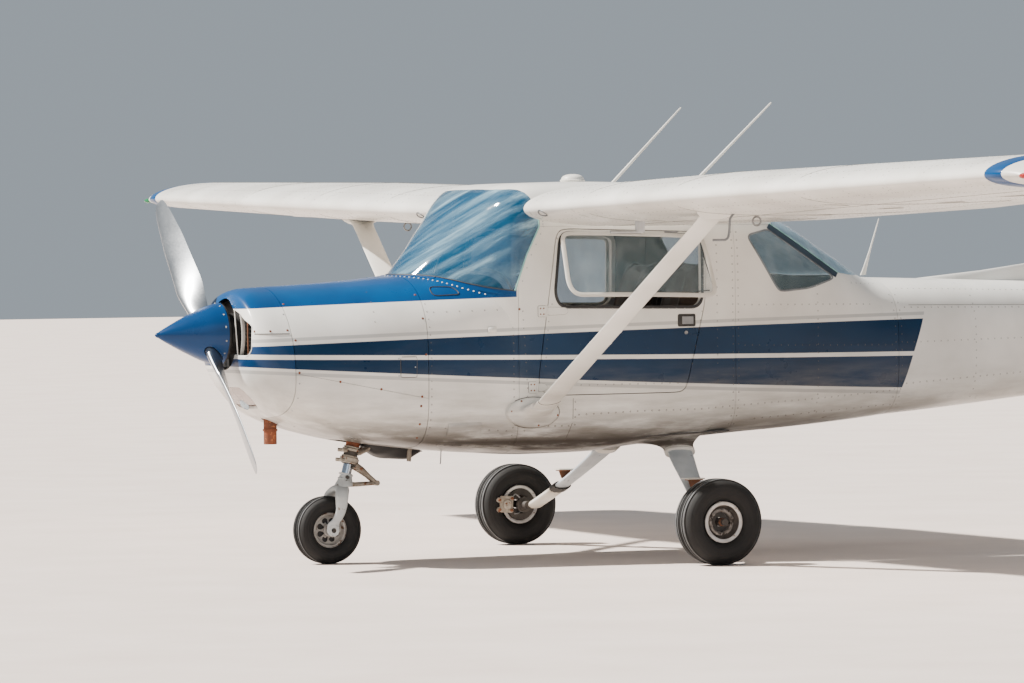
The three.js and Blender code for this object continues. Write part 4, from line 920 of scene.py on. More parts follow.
def makeFin():
    parts = []
    for heights, hornCut in ((np.linspace(1180, 2226, 24), None), (np.linspace(2226, 2330, 6), 5928)):
        rings = []
        for height in heights:
            nose, trail = rowsAt(finRows, height, 1, 2)
            ring = tailRing(nose, trail, hornCut or rudderLine(height, -33), tailSizes["fin"])
            rings.append(np.column_stack([ring, np.full(len(ring), height)]))
        parts.append(loft("fin_part", rings))
    walk = np.linspace(3100, 5050, 60)
    crest = np.interp(walk, *zip(*dorsalCrest))
    fillet = []
    for station, height in zip(walk, crest):
        foot = rowsAt(tailRows, station, 1)[0] - 12
        spread = 22 + 10 * np.exp(-((station - 4900) / 500) ** 2)
        t = np.linspace(-1, 1, 17)
        y = spread * np.sign(t) * np.abs(t) ** 1.5
        z = foot + (height - foot) * (1 - np.abs(t) ** 2.4)
        fillet.append(np.column_stack([np.full(17, station), y, z]))
    finishPiece(joined("fin_skin", *parts, loft("dorsal", fillet)), "white", replaces=["fin"])


makeFin()


def makeCone():
    cone = shell("tailcone_skin", tailRows, 2831, 5700, 8, 60)
    cut = prism("cut", [(rudderLine(600, -30), 600), (rudderLine(1500, -30), 1500), (7000, 1500), (7000, 600)], -300,
        300)
    carve(cone, cut)
    discard(cut)
    finishPiece(cone, "body", replaces=["tailcone"])


makeCone()


# Sheet-metal control surface: round nose about its hinge, straight sides with pressed beads to a thin trailing edge.
# side offset of a bead at a distance s along the span = bead * max(0, cos(2 pi s / pitch)) ^ 2, faded at both ends
def beaded(distance, share, pitch, depth):
    wave = np.maximum(0, np.cos(2 * math.pi * distance / pitch)) ** 2
    fade = np.clip((share - 0.16) / 0.06, 0, 1) * np.clip((0.93 - share) / 0.05, 0, 1)
    return depth * wave * fade


def controlSkin(name, table, hinge, place, edge=3.0):
    table = np.asarray(table, float)
    count = int((table[-1, 0] - table[0, 0]) / (tailSizes["beadPitch"] / 8)) + 1
    spans = np.linspace(table[0, 0], table[-1, 0], count)
    rings = []
    arc = np.linspace(math.pi / 2, 3 * math.pi / 2, 11)
    share = np.r_[np.linspace(0, 0.2, 4), np.linspace(0.24, 0.9, 12), 0.94, 1.0][1:]
    for reach in spans:
        trail, radius = rowsAt(table, reach, 1, 2)
        pivot = hinge(reach)
        x = pivot + share * (trail - pivot)
        half = radius + (edge - radius) * share - beaded(reach - table[0, 0], share, tailSizes["beadPitch"],
            tailSizes["bead"])
        nose = np.stack([pivot + radius * np.cos(arc), radius * np.sin(arc)], 1)
        line = np.vstack([nose, np.stack([x, -half], 1), np.stack([x, half], 1)[::-1]])
        rings.append([place(reach, px, offset) for px, offset in line])
    return loft(name, rings)


def makeTailSurfaces():
    mid, hinge = tailSizes["stabMid"], tailSizes["stabHinge"]
    halves = []
    for side in (-1, 1):
        rings = []
        for reach in np.linspace(0, stabRows[1][0], 30):
            nose, trail = rowsAt(stabRows, reach, 1, 2)
            ring = tailRing(nose, trail, hinge - 24, tailSizes["stab"])
            rings.append(np.stack([ring[:, 0], np.full(len(ring), side * reach), mid + ring[:, 1]], 1))
        halves.append(loft("half", rings))
    finishPiece(joined("tailplane_skin", *halves), "white", replaces=["tailplane"])
    rudder = controlSkin("rudder_main", rudderRows, rudderLine, lambda z, x, y: (x, y, z))
    finishPiece(rudder, "white", "rudder", ["rudder"], 50)
    for side, tag in bothTags:
        surface = controlSkin(
            "elevator_skin_" + tag, elevatorRows, lambda reach: hinge, lambda y, x, z, s=side: (x, s * y, mid + z))
        cuts = [prism("cut", [(hinge + 10, side * 80), (hinge + 10, 0), (6100, 0), (6100, side * 225)], mid - 200,
            mid + 200, "z")]
        if side > 0:
            spans = sorted((side * tailSizes["tabIn"], side * tailSizes["tabOut"]))
            cuts.append(block("cut", tailSizes["tabHinge"] - 10, 6100, *spans, mid - 100, mid + 100))
        faceOutwards(surface)
        carve(surface, *cuts)
        discard(*cuts)
        finishPiece(surface, "white", "elevator", ["elevator_" + tag], 50)


makeTailSurfaces()
print("stage: tail made")

# Wing sections: side, nose station, nose height, chord, incidence in degrees
wingRows = [[548, 790, 1659, 1636, 2.0], [2115, 796, 1698, 1630, 2.0], [4770, 949, 1759, 1180, 1.2]]
tipRows = [[0.4, 0, 0, 1, 1], [110, 12, 0, 0.985, 0.94], [210, 40, -4, 0.94, 0.72], [280, 92, -12, 0.85, 0.42],
    [310, 150, -22, 0.76, 0.12]]
wingSizes = {
    "camber": 0.02, "camberPlace": 0.4, "thickness": 0.12, "rearCut": 0.752, "hinge": 0.788, "flap": (606, 2548),
    "aileron": (2570, 4726), "bead": 1.8, "beadPitch": 78,
}


def foil(along, side):
    p, m = wingSizes["camberPlace"], wingSizes["camber"]
    fore = m / p**2 * (2 * p * along - along**2)
    aft = m / (1 - p) ** 2 * (1 - 2 * p + 2 * p * along - along**2)
    return np.where(along < p, fore, aft) + side * wingSizes["thickness"] * tailForm(along) + side * 0.0012 * along


def wingRow(reach):
    return np.array(rowsAt(wingRows, reach, *range(5)))


def wingPlace(row, along, lift, side=-1):
    reach, nose, height, chord, incidence = row
    tilt = math.radians(incidence)
    x = nose + chord * (along * math.cos(tilt) + lift * math.sin(tilt))
    z = height + chord * (lift * math.cos(tilt) - along * math.sin(tilt))
    return np.stack([x, np.full_like(x, side * reach), z], 1)


def wingRing(row, side, cut=1.0, thin=1.0):
    along = (1 - np.cos(np.linspace(0, math.pi / 2, 26))) * cut
    upper, lower = foil(along, 1) * thin, foil(along, -1) * thin
    return np.vstack([wingPlace(row, along, upper, side), wingPlace(row, along[1:][::-1], lower[1:][::-1], side)])


def wingSkin(side):
    flapIn, aileronOut = wingSizes["flap"][0] - 12, wingSizes["aileron"][1] + 12
    parts = []
    for low, high, cut in ((548, flapIn, 1.0), (flapIn, aileronOut, wingSizes["rearCut"]), (aileronOut, 4770, 1.0)):
        spans = np.unique(np.r_[np.linspace(low, high, max(3, int((high - low) / 60))),
            [v for v in (2115,) if low < v < high]])
        parts.append(loft("part", [wingRing(wingRow(v), side, cut) for v in spans]))
    return joined("wing_skin", *parts)


def wingControl(side, inner, outer, name):
    count = int((outer - inner) / (wingSizes["beadPitch"] / 8)) + 1
    rings = []
    arc = np.linspace(math.pi / 2, 3 * math.pi / 2, 11)
    aft = np.r_[np.linspace(0.79, 0.98, 16), 1.0]
    for reach in np.linspace(inner, outer, count):
        row = wingRow(reach)
        hinge = np.array([wingSizes["hinge"]])
        middle, radius = (foil(hinge, 1) + foil(hinge, -1)) / 2, (foil(hinge, 1) - foil(hinge, -1)) / 2
        nose = wingPlace(row, hinge + radius * 0.75 * np.cos(arc), middle + radius * np.sin(arc), side)
        bead = beaded(reach - inner, (aft - 0.75) / 0.25, wingSizes["beadPitch"], wingSizes["bead"]) / row[3]
        lower = wingPlace(row, aft, foil(aft, -1) + bead, side)
        upper = wingPlace(row, aft[::-1], (foil(aft, 1) - bead)[::-1], side)
        rings.append(np.vstack([nose, lower, upper]))
    return loft(name, rings)


def wingTipSkin(side):
    table = np.array(tipRows)
    rings = []
    for beyond in np.r_[0.4, np.linspace(20, 310, 24)]:
        shift, drop, chordShare, thin = smoothRows(table, np.array([beyond]))[0][1:]
        _, nose, height, chord, incidence = wingRows[2]
        row = (4770 + beyond, nose + shift, height + drop, chord * chordShare, incidence)
        rings.append(wingRing(row, side, 1.0, thin))
    return loft("wing_tip_skin", rings)


for side, tag in bothTags:
    wing = wingSkin(side)
    wing.name = "wing_skin_" + tag
    finishPiece(wing, "white", replaces=["wing_" + tag])
    finishPiece(wingControl(side, *wingSizes["flap"], "flap_skin_" + tag), "white", "flap_" + tag, ["flap_" + tag],
        50)
    finishPiece(
        wingControl(side, *wingSizes["aileron"], "aileron_skin_" + tag), "white", "aileron_" + tag,
        ["aileron_" + tag], 50)
    tip = wingTipSkin(side)
    tip.name = "wing_tip_skin_" + tag
    finishPiece(tip, "whitePlastic", replaces=["wing_tip_" + tag])
print("stage: wings made")

# Propeller and spinner; blade rows are distance from the hub, chord, thickness
bladeRows = [
    [30, 96, 84], [110, 92, 58], [190, 112, 36], [330, 150, 26], [560, 150, 17], [740, 122, 12], [846, 84, 8],
    [868, 58, 6], [875.5, 30, 4],
]
bladeSizes = {"station": -588, "rest": 45, "pitch": 1370, "base": -530, "screws": 14}
spinnerProfile = [(0, 148), (70, 128), (160, 88), (244, 45), (298, 14), (316, 0.1)]


# v is the thickness side: the forward face takes 0.62 of the thickness, the rear one 0.38.
def bladeLoft(grow=0.0):
    reach = np.r_[np.linspace(30, 860, 56), 865, 870, 873.5, 875.5]
    _, chord, thick = smoothRows(bladeRows, reach).T
    chord, thick = (chord + 2 * grow)[:, None], (thick + 2 * grow)[:, None]
    along = (1 - np.cos(np.linspace(0, math.pi, 18))) / 2
    form, bow = 2 * tailForm(along), np.sqrt(np.maximum(0, 1 - (2 * along - 1) ** 2))
    blend = np.clip((reach - 90) / 130, 0, 1)[:, None]
    blend = blend * blend * (3 - 2 * blend)
    upper = -thick * (blend * 0.62 * form + (1 - blend) * 0.5 * bow)
    lower = thick * (blend * 0.38 * form + (1 - blend) * 0.5 * bow)
    u = np.broadcast_to(chord * (0.5 - along), upper.shape)
    u = np.concatenate([u, u[:, ::-1][:, 1:-1]], 1)
    v = np.concatenate([upper, lower[:, ::-1][:, 1:-1]], 1)
    twist = np.arctan(bladeSizes["pitch"] / (2 * math.pi * np.maximum(reach, 150)))[:, None]
    x = bladeSizes["station"] - u * np.sin(twist) + v * np.cos(twist)
    y = u * np.cos(twist) + v * np.sin(twist)
    return np.stack([x, y, np.broadcast_to(reach[:, None], x.shape)], -1)


def onPropeller(rings, turn):
    c, s = math.cos(turn), math.sin(turn)
    x, y, z = np.moveaxis(np.asarray(rings, float), -1, 0)
    return np.stack([x, y * c - z * s, thrustLine + y * s + z * c], -1)


def makePropeller():
    rest = math.radians(bladeSizes["rest"])
    blades = [loft("blade", onPropeller(bladeLoft(), turn - rest)) for turn in (0, math.pi)]
    hub = [(0, 0), (0, 60), (14, 66), (88, 66), (100, 58), (104, 0)]
    parts = blades + [turned("hub", hub, (-542, 0, thrustLine), (-1, 0, 0), 40)]
    bolts = []
    for turn in turnsOf(6):
        centre = (-646, 44 * math.cos(turn), thrustLine + 44 * math.sin(turn))
        bolts.append(turned("bolt", [(0, 0), (0, 10), (12, 10), (14, 8), (14, 0)], centre, (-1, 0, 0), 6))
    finishPiece(joined("propeller_blades", *parts, *bolts), "blade", "propeller", ["propeller"], 40)
    base = bladeSizes["base"]
    along = np.r_[np.linspace(0, 300, 46), 305, 309, 312.5, 315, 316]
    radius = smoothRows(spinnerProfile, along)[:, 1]
    radius[-5:] = [12, 9.5, 6.6, 3.4, 0.1]
    outer = np.stack([along, radius], 1)
    inner = np.array([(300, 0.1), (290, 12), (240, 42), (160, 84), (70, 124), (3, 144), (0, 144)], float)
    profile = np.vstack([[(0, 144)], [(0, 147.6)], [(0.8, 148)], outer[1:], inner])
    nose = turned("spinner_skin", profile, (base, 0, thrustLine), (-1, 0, 0), 96)
    faceOutwards(nose)
    cutters = []
    for turn in (0, math.pi):
        cutter = loft("cut", onPropeller(bladeLoft(5.0)[:24], turn - rest))
        faceOutwards(cutter)
        cutters.append(cutter)
    carve(nose, *cutters)
    discard(*cutters)
    finishPiece(nose, "spinner", "propeller", ["spinner"], 40)
    plate = [(0, 0), (0, 143), (-3, 145), (-14, 144), (-16, 120), (-22, 108), (-34, 104), (-40, 96), (-190, 96),
        (-190, 0)]
    drum = turned("starter_ring", plate, (base - 4, 0, thrustLine), (-1, 0, 0), 72)
    teeth = []
    for turn in turnsOf(72):
        y, z = 108 * math.cos(turn), 108 * math.sin(turn)
        teeth.append(turned("tooth", pin(3, 9), (base + 20, y, thrustLine + z), (1, 0, 0), 4))
    finishPiece(joined("spinner_backplate", drum, *teeth), "dark", "propeller", sharp=30)
    points, normals = [], []
    for turn in np.linspace(0.2, 0.2 + 2 * math.pi, bladeSizes["screws"], endpoint=False):
        away = np.array([-0.28, math.cos(turn), math.sin(turn)])
        points.append((base - 14, 145.2 * away[1], thrustLine + 145.2 * away[2]))
        normals.append(away)
    finishPiece(domes("spinner_screws", points, normals, 4.2, 1.5, 10), "rivet", "propeller")


makePropeller()


# A ring about a centre in the plane of two directions
def ringAt(centre, first, second, a, b, power=2.0, count=28):
    turn = turnsOf(count)
    c, s = np.cos(turn), np.sin(turn)
    p = a * np.sign(c) * np.abs(c) ** (2 / power)
    q = b * np.sign(s) * np.abs(s) ** (2 / power)
    return np.asarray(centre) + p[:, None] * np.asarray(first, float) + q[:, None] * np.asarray(second, float)


# Station at which the nose's skin passes a side and height, found between the front and the cap's rear
def noseStation(side, height):
    places = np.linspace(-499.5, -322, 300)
    _, top, bottom, half, mid, topPower, lowPower = smoothRows(noseRows, places).T
    rise = np.where(height > mid, top - mid, mid - bottom)
    power = np.where(height > mid, topPower, lowPower)
    inside = (abs(side) / half) ** power + (np.abs(height - mid) / rise) ** power < 1
    return float(places[np.argmax(inside)]) if inside.any() else float(places[-1])


# Parts inside the nose: baffles behind the inlets, landing lamp behind its clear cover. The matt black bulkhead
# behind the inlets is painted shade inside the nose.
def makeNoseFittings():
    lips = []
    # Matt black bulkhead: painted shade inside the nose, behind the inlets
    bulkhead = [(-330, 930), (330, 930), (345, 1050), (300, 1150), (200, 1230), (0, 1262), (-200, 1230),
        (-300, 1150), (-345, 1050)]
    finishPiece(prism("cowl_bulkhead", bulkhead, -440, -436, "x"), "dark")
    for side in (-1, 1):
        line = rounded(inletLine, 14, 6)
        line = line[np.hypot(line[:, 0], line[:, 1] - thrustLine) > 172]
        line = np.roll(line, -int(np.argmax(np.linalg.norm(np.diff(line, axis=0), axis=1))) - 1, axis=0)
        lips.append(tube("lip", [(noseStation(y, z) + 1, side * y, z) for y, z in line], 3, 8))
        arc = []
        for turn in np.radians(np.linspace(-34, 52, 30)):
            away = np.array([0, side * math.cos(turn), math.sin(turn)])
            centre = np.array([-478, 0, thrustLine]) + away * 188
            arc.append(ringAt(centre, (1, 0, 0), away, 9, 2.6, 3, 16))
        finishPiece(loft("inlet_ring", arc), "whitePlastic")
        fins = []
        for k in range(10):
            height = 996 + 19 * k
            fins.append(block("fin", -462, -441, *sorted((side * 112, side * 308)), height, height + 5))
        finishPiece(joined("cylinder_fins", *fins), "dark")
        finishPiece(tube("baffle_seal",
            [(-468, side * 224, 996), (-472, side * 228, 1080), (-466, side * 214, 1166)], 3.5, 10), "hubRust")
    finishPiece(joined("inlet_lips", *lips), "white")
    sides = rounded(intakeLine, 24, 5)
    rear = 0.86 * (sides - sides.mean(0)) + sides.mean(0) + (0, 6)
    walls = np.array([
        [(noseStation(y, z) + 3, y, z) for y, z in sides],
        [(max(-372, noseStation(y, z) + 6), *q) for (y, z), q in zip(sides, rear)]])
    count = len(sides)
    bay = newMesh("lamp_bay", walls.reshape(-1, 3), gridFaces(2, count) + [list(range(count, 2 * count))])
    finishPiece(bay, "reflector", outwards=False)
    bowl = [(0, 0.1), (2, 22), (8, 34), (18, 41), (20, 43), (17, 43), (3, 28), (-3, 0.1)]
    finishPiece(turned("lamp_bowl", np.array(bowl) * 0.66, (-398, -8, 764), (-1, -0.3, -0.75), 40), "chrome")
    glass = [(0, 0.1), (0, 40), (3, 40), (7, 28), (9, 0.1)]
    finishPiece(turned("lamp_lens", np.array(glass) * 0.66, (-406, -10, 758), (-1, -0.3, -0.75), 40), "lamp")
    cover = shell("lamp_cover", noseRows, -499, -400, 3, 8)
    cutter = prism("cut", rounded(shrink(intakeLine, 1.5), 24), -620, -392, "x")
    carve(cover, cutter, keep=True)
    discard(cutter)
    finishPiece(cover, "cover", sharp=60)
    edge = [(0, 27), (0, 31), (128, 31), (132, 29.5), (132, 28), (128, 27)]
    stub = turned("exhaust_stub", edge + [edge[0]], (*exhaustPlace, 700), (0, 0, -1), 40)
    clamp = turned("exhaust_clamp", [(0, 31), (0, 35), (10, 35), (10, 31)], (*exhaustPlace, 640), (0, 0, -1), 40)
    dark = turned("exhaust_inside", [(0, 0.1), (0, 27), (2, 27), (2, 0.1)], (*exhaustPlace, 640), (0, 0, -1), 24)
    finishPiece(joined("exhaust_stub", stub, clamp), "rust", replaces=["exhaust_pipe"])
    finishPiece(dark, "dark")


makeNoseFittings()
print("stage: propeller and nose fittings made")


# Wing struts with their foot fairings
strutLow, strutHigh = np.array([845, -600, 728.0]), np.array([1036, -2090, 1640.0])
strutRows = [[-0.03, 112, 42], [0.93, 112, 42], [0.955, 116, 45], [0.975, 142, 60], [0.99, 184, 82], [1, 230, 104]]
strutCuff = [
    [836, -480, 706, 134, 72], [836, -536, 706, 132, 71], [837, -543, 707, 124, 64], [839, -552, 710, 92, 42],
    [842, -568, 716, 76, 31], [846, -590, 728, 70, 27], [848, -612, 737, 64, 23],
]
strutSizes = {"bands": (0.335, 0.395), "bandWidth": 0.006, "sides": 40}


def strutRing(share, chord, thick):
    turn = turnsOf(strutSizes["sides"])
    centre = strutLow + (strutHigh - strutLow) * share
    reach = np.where(np.cos(turn) > 0, 0.62, 0.38) * chord * np.cos(turn)
    across = thick / 2 * np.sin(turn) * np.where(np.cos(turn) > 0, 1 - 0.25 * np.cos(turn) ** 2, 1)
    return np.stack([centre[0] + reach, centre[1] - across * 0.52, centre[2] + across * 0.86], 1)


def makeStruts():
    shares = np.r_[np.linspace(-0.03, 0.93, 50), np.linspace(0.94, 1.0, 14)]
    rows = smoothRows(strutRows, shares)
    main = loft("strut", [strutRing(*row) for row in rows])
    bands = []
    for at in strutSizes["bands"]:
        half = strutSizes["bandWidth"] / 2
        walk = [(at - half, 0), (at - half, 3), (at + half, 3), (at + half, 0)]
        bands.append(loft("band", [strutRing(t, 112 + grow, 42 + grow) for t, grow in walk]))
    turn = turnsOf(48)
    cuff = np.array(sorted(strutCuff, key=lambda r: r[1]))
    table = np.column_stack([cuff[:, 1], cuff[:, 0], cuff[:, 2:]])
    rings = []
    places = np.r_[np.linspace(-612, -552, 14), -549, -546, -543, -541, -539, -536, -520, -500]
    for side, station, height, length, rise in smoothRows(table, places):
        rings.append(np.stack([station + length * np.cos(turn), np.full(48, side), height + rise * np.sin(turn)], 1))
    foot = loft("foot", rings)
    collar = [strutRing(t, 112 + grow, 42 + grow) for t, grow in ((-0.01, 12), (0.02, 9), (0.034, 5), (0.036, 0))]
    lip = loft("lip", collar)
    mouth = tube("strut_mouth_left", strutRing(0.037, 112.8, 42.8), 1.5, 6, closed=True)
    finishPiece(twin(mouth, "strut_mouth_right", mirrored=True), "seamDark")
    finishPiece(mouth, "seamDark")
    piece = joined("wing_strut_left_skin", main, *bands, foot, lip)
    other = twin(piece, "wing_strut_right_skin", mirrored=True)
    finishPiece(piece, "white", replaces=["wing_strut_left"])
    finishPiece(other, "white", replaces=["wing_strut_right"])


makeStruts()

# Main gear: station, side, height, chord, thickness of the spring leg; its fairing under the body
legRows = [
    [0, 1694, -225, 622, 124, 38], [1, 1643, -433, 490, 118, 34], [2, 1598, -645, 370, 94, 28],
    [3, 1560, -840, 275, 88, 26], [4, 1531, -1030, 196, 84, 26],
]
cuffEdge = [
    (1790, -462, 615), (1750, -492, 645), (1640, -497, 634), (1500, -484, 598), (1396, -420, 548), (1470, -360, 540),
    (1600, -335, 548), (1730, -385, 572),
]
wheelSizes = {
    "axleStation": 1488, "axleSide": 1159, "axleHeight": 201, "mainRadius": 201, "mainWidth": 160, "mainRim": 94,
    "noseStation": 6, "noseHeight": 160, "noseRadius": 160, "noseWidth": 124, "noseRim": 78,
    "noseBore": 16, "noseHoles": 8, "holeRing": 46, "holeSize": 14,
    "caliperBolts": [(-36, 40), (-40, -34), (-104, 32), (-104, -28)],
    "grooves": 4, "grooveWidth": 7.0, "grooveDepth": 4.5,
}


def legRing(station, side, height, chord, thick, power=2.0, count=36):
    turn = turnsOf(count)
    c, s = np.cos(turn), np.sin(turn)
    along = chord / 2 * np.sign(c) * np.abs(c) ** (2 / power)
    across = thick / 2 * np.sign(s) * np.abs(s) ** (2 / power)
    return np.stack([station + along * 0.97, side - along * 0.25 - across * 0.45, height + across * 0.89], 1)


def makeLegs():
    rings = [legRing(*row[1:], 2.6) for row in smoothRows(legRows, np.linspace(0, 4, 44))]
    leg = loft("leg", rings)
    lower = [legRing(*row[1:4], row[4] + 10, row[5] + 10, 2.4) for row in smoothRows(legRows,
        np.linspace(2.75, 3.96, 16))]
    sleeve = loft("sleeve", lower)
    clampRow = smoothRows(legRows, np.linspace(2.70, 2.80, 4))
    clamp = loft("clamp", [legRing(*row[1:4], row[4] + 17, row[5] + 17, 2.4) for row in clampRow])
    edge = [(k, *cuffEdge[k % 8]) for k in range(-8, 16)]
    base = smoothRows(edge, np.linspace(0, 8, 48, endpoint=False))[:, 1:]
    outlet = smoothRows(legRows, np.array([0.88]))[0]
    outlet = legRing(*outlet[1:4], outlet[4] + 22, outlet[5] + 22, 2.4, 48)
    middle, end = base.mean(0), outlet.mean(0)
    rings = [base + (0, 10, 6)]
    for t in np.linspace(0, 1, 14):
        pull = 1 - (1 - t) ** 2.6
        rings.append(middle + (end - middle) * t + (base - middle) * (1 - pull) + (outlet - end) * pull)
    fairing = loft("fairing", rings)
    collarRow = smoothRows(legRows, np.linspace(0.82, 0.95, 5))
    collar = loft("collar", [legRing(*row[1:4], row[4] + 27, row[5] + 27, 2.4) for row in collarRow])
    axleLine = (wheelSizes["axleStation"], wheelSizes["axleHeight"])
    axle = turned("axle", [(0, 0), (0, 19), (196, 19), (198, 16), (232, 16), (232, 0)],
        (axleLine[0], -1000, axleLine[1]), (0, -1, 0), 28)
    flange = turned("flange", [(0, 0), (0, 36), (2, 38), (18, 38), (20, 36), (20, 0)],
        (axleLine[0], -1044, axleLine[1]), (0, -1, 0), 40)
    pieces = {
        "gear_leg_skin": ([leg], "leg", "main_gear_leg_"), "gear_axle": ([axle, flange], "iron", None),
        "gear_leg_sleeve": ([sleeve], "sleeve", None),
        "gear_leg_clamp": ([clamp], "dark", None), "gear_leg_fairing": ([fairing], "white", None),
        "gear_leg_collar": ([collar], "whitePlastic", None),
    }
    cutter = solidBody("cut", cabinRows, 1200, 2100, -6)
    carve(fairing, cutter)
    discard(cutter)
    for name, (parts, finish, stands) in pieces.items():
        piece = joined(name + "_left", *parts)
        faceOutwards(piece)
        other = twin(piece, name + "_right", mirrored=True)
        for tag, shape in (("left", piece), ("right", other)):
            finishPiece(shape, finish, replaces=[stands + tag] if stands else ())


makeLegs()


# Tyre section: half width share against the share from rim to tread, rounded, with straight grooves in the tread
def makeTyre(name, radius, width, rim, centre, body, replaced):
    turn = np.linspace(math.radians(-128), math.radians(128), 121)
    depth = radius - rim
    middle, reach = rim + depth * 0.5, depth * 0.5
    side = np.sign(np.sin(turn)) * np.abs(np.sin(turn)) ** 0.86 * width / 2 * 0.98
    up = middle + np.sign(np.cos(turn)) * np.abs(np.cos(turn)) ** 0.82 * reach
    crown = np.abs(side) < width * 0.30
    up = np.where(crown & (turn > -1.6) & (turn < 1.6), np.maximum(up, radius - (side / width) ** 2 * 22), up)
    spacing = width * 0.46 / wheelSizes["grooves"]
    for k in range(wheelSizes["grooves"]):
        at = (k - (wheelSizes["grooves"] - 1) / 2) * spacing
        near = np.abs(side - at) < wheelSizes["grooveWidth"] / 2 + 1.2
        up = np.where(near & (np.cos(turn) > 0), up - wheelSizes["grooveDepth"], up)
    ridge = 0.9 * np.cos((up - rim) / depth * 40) * ((np.cos(turn) < 0.55) & (up > rim + depth * 0.2))
    side = side + np.sign(side) * np.minimum(ridge, 0) * 0.9
    profile = [(a, min(b, radius - 0.02)) for a, b in zip(side, up)]
    profile += [(width * 0.28, rim + 2), (-width * 0.28, rim + 2), profile[0]]
    shape = turned(name, profile, centre, (0, 1, 0), 96)
    finishPiece(shape, "tyre", body, [replaced], 24)
    shape.data.materials.append(finishes["tread"])
    count = len(shape.data.polygons)
    middles = np.empty(count * 3)
    shape.data.polygons.foreach_get("center", middles)
    away = middles.reshape(-1, 3) * 1000 + (originStation, 0, 0) - centre
    crown = radius - (away[:, 1] / width) ** 2 * 22
    worn = (np.hypot(away[:, 0], away[:, 2]) > crown - 2.0) & (np.abs(away[:, 1]) < width * 0.33)
    shape.data.polygons.foreach_set("material_index", worn.astype(np.int32))
    return shape


# Nose rim: a cast disc with round holes and nuts about its bore
def makeNoseRim(centre):
    names = ("noseRim", "noseBore", "noseHoles", "holeRing", "holeSize")
    radius, bore, holes, ring, size = (wheelSizes[k] for k in names)
    half = wheelSizes["noseWidth"] * 0.33
    line = [
        (-half, radius + 3), (-half + 3, radius + 6), (-half + 6, radius + 3), (-half + 7, radius - 5),
        (-half * 0.45, radius - 15),
        (-half * 0.3, radius * 0.55), (-half * 0.42, bore + 20), (-half * 0.95, bore + 15), (-half, bore + 12),
        (-half, bore),
        (half, bore), (half, bore + 12), (half * 0.95, bore + 15), (half * 0.42, bore + 20),
        (half * 0.3, radius * 0.55),
        (half * 0.45, radius - 15), (half - 7, radius - 5), (half - 6, radius + 3), (half - 3, radius + 6),
        (half, radius + 3),
        (half - 8, radius), (-half + 8, radius),
    ]
    disc = turned("disc", line + [line[0]], centre, (0, 1, 0), 72)
    faceOutwards(disc)
    cutters = []
    for k in range(holes):
        turn = 2 * math.pi * (k + 0.5) / holes
        place = (centre[0] + ring * math.cos(turn), centre[1] - 80, centre[2] + ring * math.sin(turn))
        cutters.append(turned("cut", pin(size, 160), place, (0, 1, 0), 20))
    carve(disc, *cutters)
    discard(*cutters)
    parts = [disc]
    for k in range(6):
        turn = 2 * math.pi * k / 6
        for way in (-1, 1):
            place = (centre[0] + (bore + 19) * math.cos(turn), centre[1] + way * half * 0.4,
                centre[2] + (bore + 19) * math.sin(turn))
            parts.append(turned("nut", [(0, 0), (0, 5.5), (7, 5.5), (8, 4), (8, 0)], place, (0, way, 0), 6))
    finishPiece(joined("nose_rim_skin", *parts), "rimGrey", "nose_wheel", ["nose_rim"], 32)


# Main wheel: silver flange rings, a dirty cone between them, a bolted hub ring and a dark recess round the axle
def makeMainRim(tag, side, centre, body):
    around = (0, 1, 0)
    flanges, half = [], wheelSizes["mainRim"]
    for way in (-1, 1):
        line = [(58, half + 2), (61, half - 1), (61, half - 8), (58, half - 15), (53, half - 15), (53, half - 4),
            (55, half + 2)]
        flanges.append(turned("flange", [(way * a, r) for a, r in line + [line[0]]], centre, around, 72))
    finishPiece(joined("main_rim_flanges_" + tag, *flanges), "flangeSilver", body, ["main_rim_" + tag], 32)
    cone = [(54, 82), (46, 76), (30, 66), (27, 61)]
    line = cone + [(-a, r) for a, r in cone[::-1]] + [(-54, 90), (54, 90), (54, 82)]
    finishPiece(turned("main_rim_cone_" + tag, line, centre, around, 72), "rimDirt", body)
    ring = [(24, 64), (33, 62), (34, 58), (34, 52), (30, 47), (8, 44), (8, 22)]
    line = ring + [(-a, r) for a, r in ring[::-1]] + [ring[0]]
    parts = [turned("ring", line, centre, around, 60)]
    for k in range(6):
        turn = 2 * math.pi * (k + 0.3) / 6
        for way in (-1, 1):
            place = (centre[0] + 55 * math.cos(turn), centre[1] + way * 33, centre[2] + 55 * math.sin(turn))
            parts.append(turned("washer", pin(8.5, 1.6), place, (0, way, 0), 16))
            parts.append(turned("nut", [(0, 0), (0, 6), (7, 6), (8, 4.5), (8, 0)], place, (0, way, 0), 6))
    finishPiece(joined("main_rim_hub_" + tag, *parts), "hubGrime", body, sharp=30)
    cup = [(9, 22), (9, 43.5), (14, 44.5), (14, 30), (12, 22), (9, 22)]
    finishPiece(turned("main_rim_bearing_" + tag, [(side * a, r) for a, r in cup], centre, around, 40), "dark", body)
    nut = [(0, 0), (0, 19), (3, 20), (14, 20), (16, 18), (16, 12), (24, 11.5), (25, 10), (25, 0)]
    hub = turned("axle_nut_" + tag, nut, (centre[0], centre[1] + side * 36, centre[2]), (0, side, 0), 6)
    finishPiece(hub, "hubRust", body, sharp=30)
    stem = [(centre[0] + 40, centre[1] + side * 36, centre[2] + 56),
        (centre[0] + 37, centre[1] + side * 58, centre[2] + 54)]
    finishPiece(tube("valve_stem_" + tag, stem, [4.5, 3.2], 10), "dark", body)


